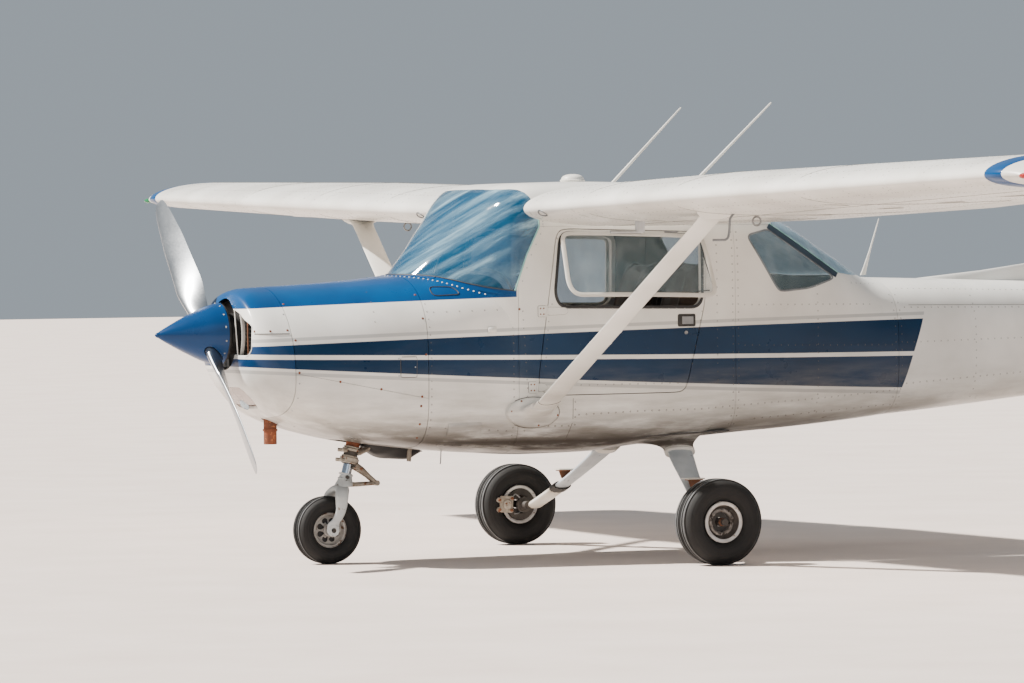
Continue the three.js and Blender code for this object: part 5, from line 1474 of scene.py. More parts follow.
def makeWheels():
    w = wheelSizes
    for side, tag in bothTags:
        centre = (w["axleStation"], side * w["axleSide"], w["axleHeight"])
        body = "main_wheel_" + tag
        makeTyre("main_tyre_" + tag + "_skin", w["mainRadius"], w["mainWidth"], w["mainRim"], centre, body,
            "main_tyre_" + tag)
        makeMainRim(tag, side, centre, body)
        disc = [(0, 46), (0, 76), (6, 76), (6, 46), (0, 46)]
        brake = turned("brake_disc_" + tag, disc, (centre[0], centre[1] - side * 60, centre[2]), (0, -side, 0), 64)
        finishPiece(brake, "iron", body)
        x, z = centre[0], centre[2]
        face = side * 1070
        shape = prism("brake_caliper_" + tag,
            rounded([(x - 117, z - 36), (x - 48, z - 40), (x - 44, z + 42), (x - 117, z + 46)], 12, 5),
            *sorted((side * 1078, side * 1118)))
        finishPiece(shape, "castGrey", sharp=30)
        shape.modifiers.new("round", "BEVEL").width = 0.002
        cups = [turned("piston", [(0, 0), (0, 23), (12, 23), (16, 18), (16, 8), (20, 7), (20, 0)],
            (x - 80, side * 1080, z + 3), (0, -side, 0), 32)]
        for dx, dz in w["caliperBolts"]:
            cups.append(turned("boss", [(0, 0), (0, 13), (8, 12), (8, 0)], (x + dx - 20, side * 1080, z + dz * 0.8),
                (0, -side, 0), 20))
        finishPiece(joined("caliper_bosses_" + tag, *cups), "castGrey", sharp=30)
        bolts = []
        for dx, dz in w["caliperBolts"]:
            place = (x + dx - 20, side * 1072, z + dz * 0.8)
            bolts.append(turned("bolt", [(0, 0), (0, 8), (9, 8), (10, 6), (10, 0)], place, (0, -side, 0), 6))
        bolts.append(turned("elbow", [(0, 0), (0, 9), (16, 9), (18, 6), (18, 0)], (x - 12, face, z - 6),
            (0, -side, 0), 6))
        bolts.append(turned("elbow", [(0, 0), (0, 11), (10, 12), (12, 8), (12, 0)], (x - 8, face, z + 16),
            (0, -side, 0), 12))
        finishPiece(joined("caliper_bolts_" + tag, *bolts), "hubRust", sharp=30)
        path = [(x - 56, z + 44), (x - 44, z + 52), (x - 24, z + 40), (x - 14, z + 12), (x - 16, z - 24),
            (x - 30, z - 42), (x - 50, z - 44)]
        line = smoothRows([(k, *v) for k, v in enumerate(path)], np.linspace(0, 6, 40))
        pipe = [(a, side * 1058, b) for _, a, b in line]
        finishPiece(tube("brake_pipe_" + tag, pipe, 3.0, 10), "steel")
        step = rounded([(1518, 690), (1612, 690), (1612, 775), (1518, 775)], 16, 5)
        pad = prism("step_pad_" + tag, step * (1, side), 383, 388, "z")
        finishPiece(pad, "sleeve", sharp=30)
        bracket = [
            prism("web", [(1534, 383), (1600, 383), (1592, 350), (1570, 335), (1550, 342)],
                *sorted((side * 735, side * 739))),
            block("foot", 1530, 1604, *sorted((side * 715, side * 759)), 377, 383),
        ]
        finishPiece(joined("step_bracket_" + tag, *bracket), "hubRust", sharp=30)
        strap = []
        for k, at in enumerate((2.66, 2.72, 2.79, 2.86)):
            row = smoothRows(legRows, np.array([at]))[0]
            ring = legRing(*row[1:4], row[4] + 20, row[5] + 20, 2.2, 48)
            wobble = 2.5 * np.sin(np.arange(48) * 1.7 + k * 2)
            strap.append(ring + np.stack([wobble * 0.3, wobble, wobble * 0.4], 1))
        strap = np.array(strap) * (1, -side, 1)
        finishPiece(loft("leg_tape_" + tag, strap), "dark")
    centre = (w["noseStation"], 0, w["noseHeight"])
    makeTyre("nose_tyre_skin", w["noseRadius"], w["noseWidth"], w["noseRim"], centre, "nose_wheel", "nose_tyre")
    makeNoseRim(centre)
    core = [(-5, 17), (-5, 62), (5, 62), (5, 17), (-5, 17)]
    finishPiece(turned("nose_rim_core", core, centre, (0, 1, 0), 48), "dark", "nose_wheel")


makeWheels()
print("stage: struts, legs and wheels made")

# Nose gear: the leg leans forward towards the ground
legWay = np.array([-0.25, 0, -0.968]) / math.hypot(0.25, 0.968)
forkRows = [
    [-22, 8, 24, 20], [0, 5, 31, 20], [30, 8, 29, 19], [54, 29, 25, 19], [90, 46, 25, 19], [116, 50, 29, 20],
    [158, 52, 32, 22],
]


def downLeg(distance, aft=0.0, side=0.0):
    point = np.array([126.0, 0, 500]) + legWay * distance
    return point + (aft, side, 0)


# A collar on the leg with edges taken off by 2 mm
def collarOn(name, distance, length, radius):
    profile = [(0, 0), (0, radius - 2), (2, radius), (length - 2, radius), (length, radius - 2), (length, 0)]
    return turned(name, profile, downLeg(distance), legWay, 40)


def makeNoseGear():
    upper = turned("nose_leg_tube", pin(33, 214), downLeg(-260), legWay, 40)
    finishPiece(upper, "rust", replaces=["nose_strut"])
    lower = turned("nose_leg_barrel", [(0, 0), (0, 34), (78, 34), (80, 31), (80, 0)], downLeg(-46), legWay, 40)
    finishPiece(lower, "iron")
    collars = [
        collarOn("collar", -50, 8, 39), collarOn("collar", -40, 12, 44), collarOn("collar", -6, 9, 40),
        collarOn("collar", 3, 20, 46),
        collarOn("collar", 24, 7, 41),
    ]
    for distance in (-34, 13):
        for side in (-1, 1):
            place = downLeg(distance, -34, side * 22)
            collars.append(turned("lug", [(0, 0), (0, 9), (24, 9), (26, 6), (26, 0)], place, (-1, side * 0.35, 0.1),
                14))
    mount = block("mount", 178, 328, -56, 56, 642, 698)
    finishPiece(joined("nose_leg_collars", *collars, mount), "castGrey", sharp=30)
    inner = turned("oleo", pin(23.5, 84), downLeg(35), legWay, 40)
    finishPiece(inner, "chrome", "nose_steering")
    heads = np.linspace(0, 1, 22)
    boss = []
    for t in heads:
        centre = downLeg(85 + 56 * t)
        spread = t * t * (3 - 2 * t)
        boss.append(ringAt(centre, (1, 0, 0.05), (0, 1, 0), 30 + 6 * spread, 31 + 24 * spread, 2 + spread))
    parts = [loft("boss", boss), collarOn("ring", 80, 9, 34), collarOn("ring", 104, 8, 35)]
    arch = []
    for turn in np.linspace(0, math.pi, 33):
        y, z = 75 * math.cos(turn), 303 + 50 * math.sin(turn)
        away = (0, math.cos(turn), math.sin(turn))
        lift = math.sin(turn)
        arch.append(ringAt((52 + 24 * lift * lift, y, z), (1, 0, 0), away, 32 + 3 * lift, 11 + 9 * lift, 2.6))
    parts.append(loft("arch", arch))
    for side in (-1, 1):
        table = smoothRows(np.array(forkRows, float), np.linspace(-22, 143, 34))
        rings = []
        for rise, middle, half, thick in table:
            rings.append(ringAt((middle, side * 76, 160 + rise), (1, 0, 0), (0, 1, 0), half, thick / 2, 2.6))
        parts.append(loft("arm", rings))
        eye = [(0, 0), (0, 26), (2, 28), (20, 28), (22, 26), (22, 0)]
        parts.append(turned("eye", eye, (6, side * 65, 160), (0, side, 0), 36))
    finishPiece(joined("nose_fork_skin", *parts), "fork", "nose_steering", ["nose_fork"], 40)
    pins = []
    for side in (-1, 1):
        pins.append(turned("nut", [(0, 0), (0, 13), (3, 14), (9, 14), (10, 12), (10, 8), (13, 8), (13, 0)],
            (6, side * 77, 160), (0, side, 0), 24))
    for distance in (97, 117):
        pins.append(turned("bolt", [(-42, 0), (-42, 8), (-34, 9), (34, 9), (42, 8), (42, 0)], downLeg(distance, -4),
            (0, 1, 0), 12))
    finishPiece(joined("nose_fork_pins", *pins), "iron", "nose_steering")
    rods = []
    for side in (-1, 1):
        rods.append(tube("rod", [(140, side * 28, 462), (176, side * 26, 440), (216, side * 18, 408),
            (254, side * 12, 376)], [16, 13, 9, 10], 14))
        rods.append(tube("rod", [(104, side * 28, 374), (150, side * 24, 370), (252, side * 12, 374)], [14, 10, 9],
            14))
    rods.append(tube("knee", [(254, -28, 375), (254, 28, 375)], 13, 16))
    rods.append(tube("web", [(172, -24, 442), (172, 24, 442)], 10, 10))
    rods.append(tube("web", [(140, -24, 372), (140, 24, 372)], 9, 10))
    finishPiece(joined("torque_links", *rods), "linkSteel", "nose_steering")
    push = [
        tube("rod", [(150, -40, 512), (220, -46, 548), (300, -60, 590)], [7, 7, 7], 10),
        tube("rod", [(150, 40, 512), (220, 46, 548), (300, 60, 590)], [7, 7, 7], 10),
        tube("damper", [(160, -34, 520), (250, -30, 558)], 13, 18),
        tube("piston", [(250, -30, 558), (300, -28, 580)], 6, 10),
    ]
    finishPiece(joined("steering_rods", *push), "linkSteel")
    sag = []
    for station in np.linspace(186, 470, 26):
        share = (station - 186) / 284
        drop = 74 * math.sin(math.pi * min(1, share * 0.9 + 0.1)) ** 0.6 + 7 * math.sin(9 * share) - 6 * share
        width = 96 * (1 - 0.35 * share)
        y = np.linspace(-1, 1, 19)
        floor = 585 - 64 * share
        z = np.minimum(floor, floor - drop * (1 - np.abs(y) ** 2.2) + 3 * np.sin(7 * y + 11 * share))
        lower = np.stack([np.full(19, station), y * width, z], 1)
        sag.append(np.vstack([lower, lower[::-1] + (0, 0, 4)]))
    finishPiece(loft("nose_leg_boot", sag), "seal")
    finishPiece(tube("drain_pipe", [(410, -60, 560), (404, -62, 520), (401, -62, 482), (400, -62, 474)],
        [11, 11, 11, 10], 16), "linkSteel")


makeNoseGear()
print("stage: nose gear made")

# Windows: frames, seals and the parts that hold them. A frame runs round an outline on the side of the cabin.


def onCabin(line, out=0.0, side=-1):
    line = np.asarray(line, float)
    points, _ = sidePoints(cabinRows, line[:, 0], line[:, 1], out)
    return points * (1, -side, 1)


def evenly(outline, count):
    line = np.vstack([outline, outline[:1]])
    walk = np.r_[0, np.cumsum(np.linalg.norm(np.diff(line, axis=0), axis=1))]
    at = np.linspace(0, walk[-1], count, endpoint=False)
    return np.stack([np.interp(at, walk, line[:, k]) for k in (0, 1)], 1)


def ribbon(name, outline, width, out, side, radius, thick):
    middle = evenly(rounded(outline, radius, 10), 220)
    ahead = np.roll(middle, -1, 0) - np.roll(middle, 1, 0)
    across = np.stack([-ahead[:, 1], ahead[:, 0]], 1) / np.linalg.norm(ahead, axis=1)[:, None]
    outer, inner = onCabin(middle - across * width / 2, 0, side), onCabin(middle + across * width / 2, 0, side)
    away = np.array([0, side, 0])
    rings = [inner, inner + away * (out + thick * 0.7), (inner + outer) / 2 + away * (out + thick),
        outer + away * (out + thick * 0.7), outer]
    rings = np.array(rings)
    count = rings.shape[1]
    faces = gridFaces(5, count)
    return newMesh(name, rings.reshape(-1, 3), faces + joinFaces(4 * count, 0, count))


def makeWindowFrames():
    for side, tag in bothTags:
        body = "door_" + tag
        finishPiece(ribbon("door_pane_seal_" + tag, shrink(doorPane, -3), 15, -1.5, side, 40, 3), "seal", body)
        frame = ribbon("window_frame_" + tag, shrink(doorPane, 4), 19, 2.5, side, 44, 7)
        if side < 0:
            swingOpen(frame)
            arm = tube("stay", [(1760, -516, 1262), (1752, -540, 1266), (1690, -551, 1262), (1660, -552, 1258)], 3, 8)
            latch = tube("stay", [(1672, -534, 1520), (1716, -530, 1512), (1722, -548, 1420), (1768, -558, 1272)],
                2.6, 8)
            finishPiece(joined("window_stay", arm, latch), "dark", body)
        finishPiece(frame, "whitePlastic", body)
        hinges = []
        for station in (1130, 1560):
            at = onCabin([(station - 34, 1543), (station + 34, 1543)], 1.5, side)
            hinges.append(tube("hinge", at, 4.2, 10))
        finishPiece(joined("window_hinges_" + tag, *hinges), "alloy", body)
        finishPiece(ribbon("quarter_seal_" + tag, quarterPane, 9, -1.5, side, 34, 2), "frameEdge")


makeWindowFrames()


# Height of the nose's top at stations and sides
def noseTop(places, sides):
    _, top, _, half, mid, power, _ = smoothRows(noseRows, np.asarray(places, float)).T
    share = np.clip(np.abs(sides) / half, 0, 0.995)
    return mid + (top - mid) * (1 - share**power) ** (1 / power)


# The point of the nose's upper port skin that is nearest to a given one at its station, with the outward normal
def onNoseTop(target):
    _, top, _, half, mid, power, _ = smoothRows(noseRows, target[:1])[0]
    turns = np.linspace(0, math.pi / 2, 600)
    y, z = -half * np.cos(turns) ** (2 / power), mid + (top - mid) * np.sin(turns) ** (2 / power)
    k = int(np.clip(np.argmin((y - target[1]) ** 2 + (z - target[2]) ** 2), 1, 598))
    out = np.array([0, z[k - 1] - z[k + 1], y[k + 1] - y[k - 1]])
    return np.array([target[0], y[k], z[k]]), out / np.linalg.norm(out)


# The front of the windshield's foot, where the nose and the cabin have the same width
def screenFoot():
    points = []
    for station in np.r_[np.linspace(342, 380, 12), np.linspace(388, 463, 10)]:
        heights = np.linspace(1150, 1400, 1200)
        widths = []
        for rows in (noseRows, cabinRows):
            _, top, _, half, mid, power, _ = smoothRows(rows, np.array([station]))[0]
            share = np.clip((heights - mid) / (top - mid), 0, 1)
            widths.append(half * (1 - share**power) ** (1 / power))
        over = widths[1] > widths[0]
        if over.any():
            k = int(np.argmax(over))
            points.append((station, -max(widths[0][k], 0.5), heights[k]))
    return np.array(points)


# A flat band between two lines of points with the same count, raised by a thickness along the given normals
def band(name, first, second, normals, thick):
    rings = np.stack([first, first + normals * thick, second + normals * thick, second - normals,
        first - normals * 1.5], 1)
    return loft(name, rings)


def makeScreenTrim():
    foot = screenFoot()
    foot = foot[np.argsort(foot[:, 1])]
    walk = np.r_[0, np.cumsum(np.linalg.norm(np.diff(foot[:, :2], axis=0), axis=1))]
    at = np.linspace(0, walk[-1], 40)
    port = np.stack([np.interp(at, walk, foot[:, k]) for k in range(3)], 1)
    line = np.vstack([port, port[::-1][1:] * (1, -1, 1)])
    ahead = np.gradient(line[:, :2], axis=0)
    away = np.stack([-ahead[:, 1], ahead[:, 0]], 1) / np.linalg.norm(ahead, axis=1)[:, None]
    up = np.tile((0, 0, 1.0), (len(line), 1))
    edges = []
    for offset in (-4, 26):
        plan = line[:, :2] + away * offset
        edges.append(np.column_stack([plan, noseTop(plan[:, 0], plan[:, 1])]))
    strips = [band("strip", edges[0], edges[1], up, 2.4)]
    low = np.array(screenLine[2:8], float)
    fine = np.stack([np.interp(np.linspace(0, 5, 60), range(6), low[:, k]) for k in (0, 1)], 1)
    beads = [tube("bead", line + (0, 0, 3.0), 4, 8)]
    for side in (-1, 1):
        first, normals = sidePoints(cabinRows, fine[:, 0], fine[:, 1] + 1, 0.2)
        second, _ = sidePoints(cabinRows, fine[:, 0], fine[:, 1] - np.linspace(26, 18, 60), 0.2)
        flip = np.array([1, -side, 1])
        strips.append(band("strip", first * flip, second * flip, normals * flip, 2.2))
        beads.append(tube("bead", first * flip + normals * flip * 1.5, 3, 8))
    finishPiece(joined("windshield_foot_strip", *strips), "blueTrim", sharp=30)
    finishPiece(joined("windshield_foot_bead", *beads), "seal")
    row = spaced(np.vstack([foot[::-1], sidePoints(noseRows, low[1:, 0], low[1:, 1])[0]]), 25)
    rivets, ways = [], []
    for point, along in zip(row, np.gradient(row, axis=0)):
        away = np.cross(along, onNoseTop(point)[1])
        away *= math.copysign(42 / np.linalg.norm(away), -away[0] - away[2])
        point, normal = onNoseTop(point + away)
        for side in (-1, 1):
            rivets.append((point + normal * 0.8) * (1, -side, 1))
            ways.append(normal * (1, -side, 1))
    finishPiece(domes("windshield_foot_rivets", rivets, ways, 4.6, 2.6, 8), "rivetWhite")
    edges, screws, ways = [], [], []
    post = np.array(screenLine[7:10] + [(884, 1608)], float)
    fine = np.stack([np.interp(np.linspace(0, 3, 50), range(4), post[:, k]) for k in (0, 1)], 1)
    for side in (-1, 1):
        edges.append(tube("edge", onCabin(fine - (2, 0), 0.6, side), 4, 8))
        for station, height in fine[5::6]:
            point, normal = sidePoints(cabinRows, [station + 18], [height - 5], 0.3)
            screws.append(point[0] * (1, -side, 1))
            ways.append(normal[0] * (1, -side, 1))
    finishPiece(joined("windshield_side_edges", *edges), "edgeTeal")
    finishPiece(domes("windshield_post_screws", screws, ways, 3.6, 1.4, 8), "alloy")


def spaced(line, pitch):
    line = np.asarray(line, float)
    walk = np.r_[0, np.cumsum(np.linalg.norm(np.diff(line, axis=0), axis=1))]
    at = np.arange(pitch / 2, walk[-1], pitch)
    return np.stack([np.interp(at, walk, line[:, k]) for k in range(line.shape[1])], 1)


makeScreenTrim()


# Dark strip between the quarter and rear panes, with a silver bead behind it
def makeRearStrips():
    quarter, rear = np.array([(2104, 1558), (2484, 1318)], float), np.array([(2130, 1579), (2506, 1340)], float)
    t = np.linspace(0, 1, 40)[:, None]
    for side, tag in bothTags:
        first, second = quarter[0] + t * (quarter[1] - quarter[0]), rear[0] + t * (rear[1] - rear[0])
        flip = np.array([1, -side, 1])
        a, normals = sidePoints(cabinRows, first[:, 0], first[:, 1], 0.3)
        b, _ = sidePoints(cabinRows, second[:, 0], second[:, 1], 0.3)
        finishPiece(band("rear_pane_strip_" + tag, a * flip, b * flip, normals * flip, 2.6), "strip", sharp=30)
        finishPiece(tube("rear_pane_bead_" + tag, b * flip + normals * flip * 1.5, 3.2, 8), "edgeTeal")


makeRearStrips()

# Seams, screws and rivets of the body. Each row is a line of (station, height) on the side and its pitch in mm.
seamLines = [
    ("noseRows", [(-489, 1091), (-326, 1091)], 2.0),
    ("noseRows", [(192, 976), (273, 976), (271, 880), (192, 880), (192, 976)], 1.4),
    ("cabinRows", [(1040, 660), (1010, 560)], 1.2), ("cabinRows", [(1040, 776), (1040, 660)], 1.2),
    ("tailRows", [(3733, 1200), (3733, 800)], 1.2), ("tailRows", [(4500, 1190), (4500, 850)], 1.2),
    ("tailRows", [(2900, 1180), (5300, 1150)], 1.0),
]
rivetRows = [
    ("noseRows", [(345, 1238), (345, 590)], 36), ("noseRows", [(745, 1230), (745, 560)], 36),
    ("noseRows", [(110, 1300), (100, 1218), (86, 1103)], 46), ("noseRows", [(345, 1180), (745, 1190)], 60),
    ("noseRows", [(400, 640), (740, 620)], 42), ("noseRows", [(360, 560), (740, 545)], 36),
    ("cabinRows", [(790, 1200), (812, 812), (800, 600)], 40), ("cabinRows", [(1052, 770), (1052, 620)], 36),
    ("cabinRows", [(800, 640), (1030, 640)], 34),
    ("cabinRows", [(1052, 690), (1387, 702), (1707, 704), (1890, 716)], 38),
    ("cabinRows", [(1800, 1500), (1800, 800)], 40), ("cabinRows", [(1885, 1560), (1885, 620)], 38),
    ("cabinRows", [(1915, 1560), (1915, 620)], 38), ("cabinRows", [(1930, 1195), (2700, 1188)], 40),
    ("cabinRows", [(1930, 1003), (2810, 990)], 40), ("cabinRows", [(1930, 718), (2380, 742), (2815, 770)], 38),
    ("cabinRows", [(2360, 1300), (2360, 660)], 40), ("cabinRows", [(2812, 1250), (2812, 690)], 38),
    ("cabinRows", [(2000, 650), (2800, 700)], 44), ("cabinRows", [(2560, 1292), (2790, 1285)], 36),
    ("tailRows", [(2848, 1250), (2848, 690)], 38), ("tailRows", [(3290, 1240), (3290, 720)], 38),
    ("tailRows", [(3720, 1225), (3720, 770)], 38), ("tailRows", [(3746, 1225), (3746, 770)], 38),
    ("tailRows", [(4100, 1215), (4100, 800)], 38), ("tailRows", [(4487, 1205), (4487, 845)], 38),
    ("tailRows", [(4513, 1205), (4513, 845)], 38), ("tailRows", [(4870, 1195), (4870, 870)], 36),
    ("tailRows", [(5190, 1185), (5190, 900)], 36), ("tailRows", [(2860, 1170), (5300, 1140)], 40),
    ("tailRows", [(2860, 1000), (5300, 1040)], 40), ("tailRows", [(2860, 800), (5200, 940)], 40),
    ("tailRows", [(2860, 1262), (4800, 1218)], 34),
]
doorRivets = [
    [(900, 900), (925, 1180), (950, 1240)], [(935, 830), (1590, 830)], [(1660, 900), (1722, 1180)],
    [(975, 1190), (1700, 1180)], [(960, 1500), (990, 1552)], [(1726, 1230), (1726, 1500)],
]
rustScrews = [
    ("noseRows", -480, 1103), ("noseRows", -416, 1104), ("noseRows", -334, 1107), ("noseRows", -307, 1227),
    ("noseRows", -306, 1060), ("noseRows", -303, 911), ("noseRows", -106, 866), ("noseRows", 96, 828),
    ("noseRows", 297, 790), ("noseRows", 293, 746), ("noseRows", 294, 661), ("noseRows", 300, 596),
    ("noseRows", 318, 1153), ("noseRows", 318, 985), ("noseRows", 316, 1262), ("cabinRows", 774, 1190),
]
smallScrews = [
    ("noseRows", -303, 861), ("noseRows", -303, 793), ("noseRows", -303, 734), ("noseRows", -330, 1180),
    ("noseRows", 184, 968), ("noseRows", 184, 888), ("noseRows", 264, 928),
]
rowsByName = {"noseRows": noseRows, "cabinRows": cabinRows, "tailRows": tailRows}


def makeSeamsAndRivets():
    strips, dots, ways = [], [], []
    for table, line, radius in seamLines:
        fine = spaced(line, 14)
        for side in (-1, 1):
            points, _ = sidePoints(rowsByName[table], fine[:, 0], fine[:, 1], 0.5)
            strips.append(tube("seam", points * (1, -side, 1), radius, 5))
    finishPiece(joined("panel_seams", *strips), "seamDark")
    heads = {"noseRows": [], "cabinRows": [], "tailRows": []}
    for table, line, pitch in rivetRows:
        fine = spaced(line, pitch)
        heads[table].append(bothSides(*sidePoints(rowsByName[table], fine[:, 0], fine[:, 1])))
    for table, listed in heads.items():
        dots, ways = (np.vstack([pair[k] for pair in listed]) for k in (0, 1))
        finishPiece(domes(table[:-4] + "_rivets", dots, ways, 2.8, 1.5), "cowl" if table == "noseRows" else "body")
        finishPiece(domes(table[:-4] + "_rivet_rings", dots, ways, 4.3, 0.5), "ringDirt")
    for side, tag in bothTags:
        dots, ways = [], []
        for line in doorRivets:
            fine = spaced(line, 42)
            points, normals = sidePoints(cabinRows, fine[:, 0], fine[:, 1])
            dots.append(points * (1, -side, 1))
            ways.append(normals * (1, -side, 1))
        finishPiece(domes("door_rivets_" + tag, np.vstack(dots), np.vstack(ways), 2.8, 1.5), "body", "door_" + tag)
        finishPiece(domes("door_rivet_rings_" + tag, np.vstack(dots), np.vstack(ways), 4.3, 0.5), "ringDirt",
            "door_" + tag)
    for name, listed, radius, finish in (
            ("rusty_screws", rustScrews, 6.2, "screw"), ("small_screws", smallScrews, 4.2, "alloy")):
        dots, ways = [], []
        for table, station, height in listed:
            points, normals = bothSides(*sidePoints(rowsByName[table], [station], [height]))
            dots.append(points)
            ways.append(normals)
        finishPiece(domes(name, np.vstack(dots), np.vstack(ways), radius, 2.2, 12), finish)
    dots = np.array([
        (x, side * 543.5, z)
        for x, z in ((772, 760), (722, 714), (858, 647), (956, 692)) for side in (-1, 1)])
    finishPiece(domes("strut_foot_screws", dots, np.sign(dots) * (0, 1, 0), 5.6, 2.6, 12), "screw")
    # A dark line round each strut foot fairing: partly its seam, partly painted shadow at its raised edge
    turn = turnsOf(64)
    rims = []
    for side in (-1, 1):
        rims.append(tube("rim", onCabin(np.stack([836 + 135 * np.cos(turn), 706 + 73 * np.sin(turn)], 1), 0.8, side),
            1.6, 6, closed=True))
    finishPiece(joined("strut_foot_rims", *rims), "seamDark")


makeSeamsAndRivets()
print("stage: trim, seams and rivets made")


# Door furniture on both sides: hinges with plates, the handle in its pocket, the lock, and a small air vent ahead
def makeDoorFittings():
    for side, tag in bothTags:
        body = "door_" + tag
        fixed, moving, rust, ways, outlines, leaves = [], [], [], [], [], []
        for low, high, station, leaf in ((1153, 1204, 866, 118), (797, 849, 815, 60)):
            plate = rounded([(station, low), (station + 40, low), (station + 40, high), (station, high)], 6, 4)
            inner, outer = onCabin(plate, 0.2, side), onCabin(plate, 3.4, side)
            fixed.append(loft("plate", [inner, outer]))
            # A dark line round the plate: partly the gap at its edge, partly painted shadow under its raised rim
            outlines.append(tube("outline", onCabin(evenly(plate, 50), 1.0, side), 1.4, 5, closed=True))
            line = onCabin([(station + 41, low - 2), (station + 43, (low + high) / 2), (station + 44, high + 2)],
                3.0, side)
            moving.append(tube("knuckle", line, 5.2, 12))
            flap = [(station + 46, low + 6), (station + leaf + 24, low + 10), (station + leaf + 36, (low + high) / 2),
                    (station + leaf + 24, high - 10), (station + 46, high - 6)]
            flap = rounded(flap, 14, 5)
            moving.append(loft("leaf", [onCabin(flap, 0.2, side), onCabin(flap, 2.4, side)]))
            # A dark line round the leaf: partly the gap at its edge, partly painted shadow under its raised rim
            leaves.append(tube("outline", onCabin(evenly(flap, 70), 0.8, side), 1.3, 5, closed=True))
            for x, z in (
                    (station + 12, low + 12), (station + 12, high - 12),
                    (station + 28, low + 12), (station + 28, high - 12)):
                point, normal = sidePoints(cabinRows, [x], [z], 3.4)
                rust.append(point[0] * (1, -side, 1))
                ways.append(normal[0] * (1, -side, 1))
        finishPiece(joined("hinge_plates_" + tag, *fixed), "white", sharp=30)
        finishPiece(joined("hinge_leaves_" + tag, *moving), "white", body, sharp=30)
        finishPiece(joined("hinge_edges_" + tag, *outlines), "seamDark")
        finishPiece(joined("hinge_leaf_edges_" + tag, *leaves), "seamDark", body)
        finishPiece(domes("hinge_screws_" + tag, rust, ways, 4.2, 1.8, 10), "screw")
        # The handle's rim and pocket are matt black; in the pocket this is painted shade in the recess
        pocket = rounded([(1594, 1102), (1676, 1102), (1676, 1150), (1594, 1150)], 8, 5)
        rim = rounded([(1588, 1096), (1682, 1096), (1682, 1156), (1588, 1156)], 10, 5)
        rings = [onCabin(rim, 0.2, side), onCabin(rim, 2.6, side), onCabin(pocket, 2.6, side),
            onCabin(pocket, 0.6, side)]
        finishPiece(loft("handle_rim_" + tag, rings), "dark", body, sharp=30)
        lever = [
            onCabin([(x, z) for z in (1108, 1144)], out, side)
            for x, out in ((1612, 1), (1640, 6), (1668, 8), (1670, 3))]
        bar = np.array([np.vstack([a, a[::-1] + (0, -side * 3.0, 0)]) for a in lever])
        finishPiece(loft("door_lever_" + tag, bar), "steel", body, sharp=30)
        point, normal = sidePoints(cabinRows, [1632], [1068], 0)
        lock = turned("door_lock_" + tag, [(0, 0), (0, 9), (3, 9), (4, 7), (3, 4), (3, 0)], point[0] * (1, -side, 1),
            normal[0] * (1, -side, 1), 24)
        finishPiece(lock, "steel", body)
        scoop = []
        for t in np.linspace(0, 1, 12):
            bulge = 16 * math.sin(math.pi * min(1, t * 1.1) / 2)
            span = [(1112 - 2 * t - 34 * k / 6) for k in range(7)]
            line = np.array([(664 - 44 * t, z) for z in span])
            points, normals = sidePoints(noseRows, line[:, 0], line[:, 1], 0)
            lift = bulge * np.sin(np.linspace(0, math.pi, 7))[:, None] ** 0.7 * (1 - t * 0.15)
            up = points + normals * (lift + 0.6)
            scoop.append(np.vstack([up, points[::-1] - normals[::-1] * 1.0]) * (1, -side, 1))
        finishPiece(loft("cabin_vent_" + tag, scoop), "whitePlastic")


makeDoorFittings()


def makeBodyFittings():
    louvre = []
    for t in np.linspace(0, 1, 12):
        station = 430 + 158 * t
        heights = np.linspace(664, 600, 8)
        points, normals = sidePoints(noseRows, np.full(8, station), heights)
        lift = 15 * np.sin(np.linspace(0, math.pi, 8)) ** 0.6 * math.sin(math.pi * min(0.92, 0.15 + t)) ** 0.5
        louvre.append(np.vstack([points + normals * (lift[:, None] + 0.5), points[::-1] - normals[::-1]]))
    finishPiece(loft("air_outlet_scoop", louvre), "white")
    rim = rounded([(392, 1298), (496, 1297), (520, 1262), (392, 1256)], 24, 6)
    points, _ = sidePoints(noseRows, rim[:, 0], rim[:, 1], 1.0)
    finishPiece(tube("filler_door_seal", points, 2.6, 8, closed=True), "seal")
    hatch = rounded([(195, 882), (270, 883), (272, 973), (196, 973)], 8, 5)
    plates = [sidePoints(noseRows, hatch[:, 0], hatch[:, 1], out)[0] for out in (0.2, 1.8)]
    finishPiece(loft("cowl_hatch", plates), "cowl", sharp=30)
    finishPiece(tube("static_tube", [(520, -170, 524), (516, -172, 470), (514, -172, 462)], 3, 8), "steel")


makeBodyFittings()
print("stage: fittings made")


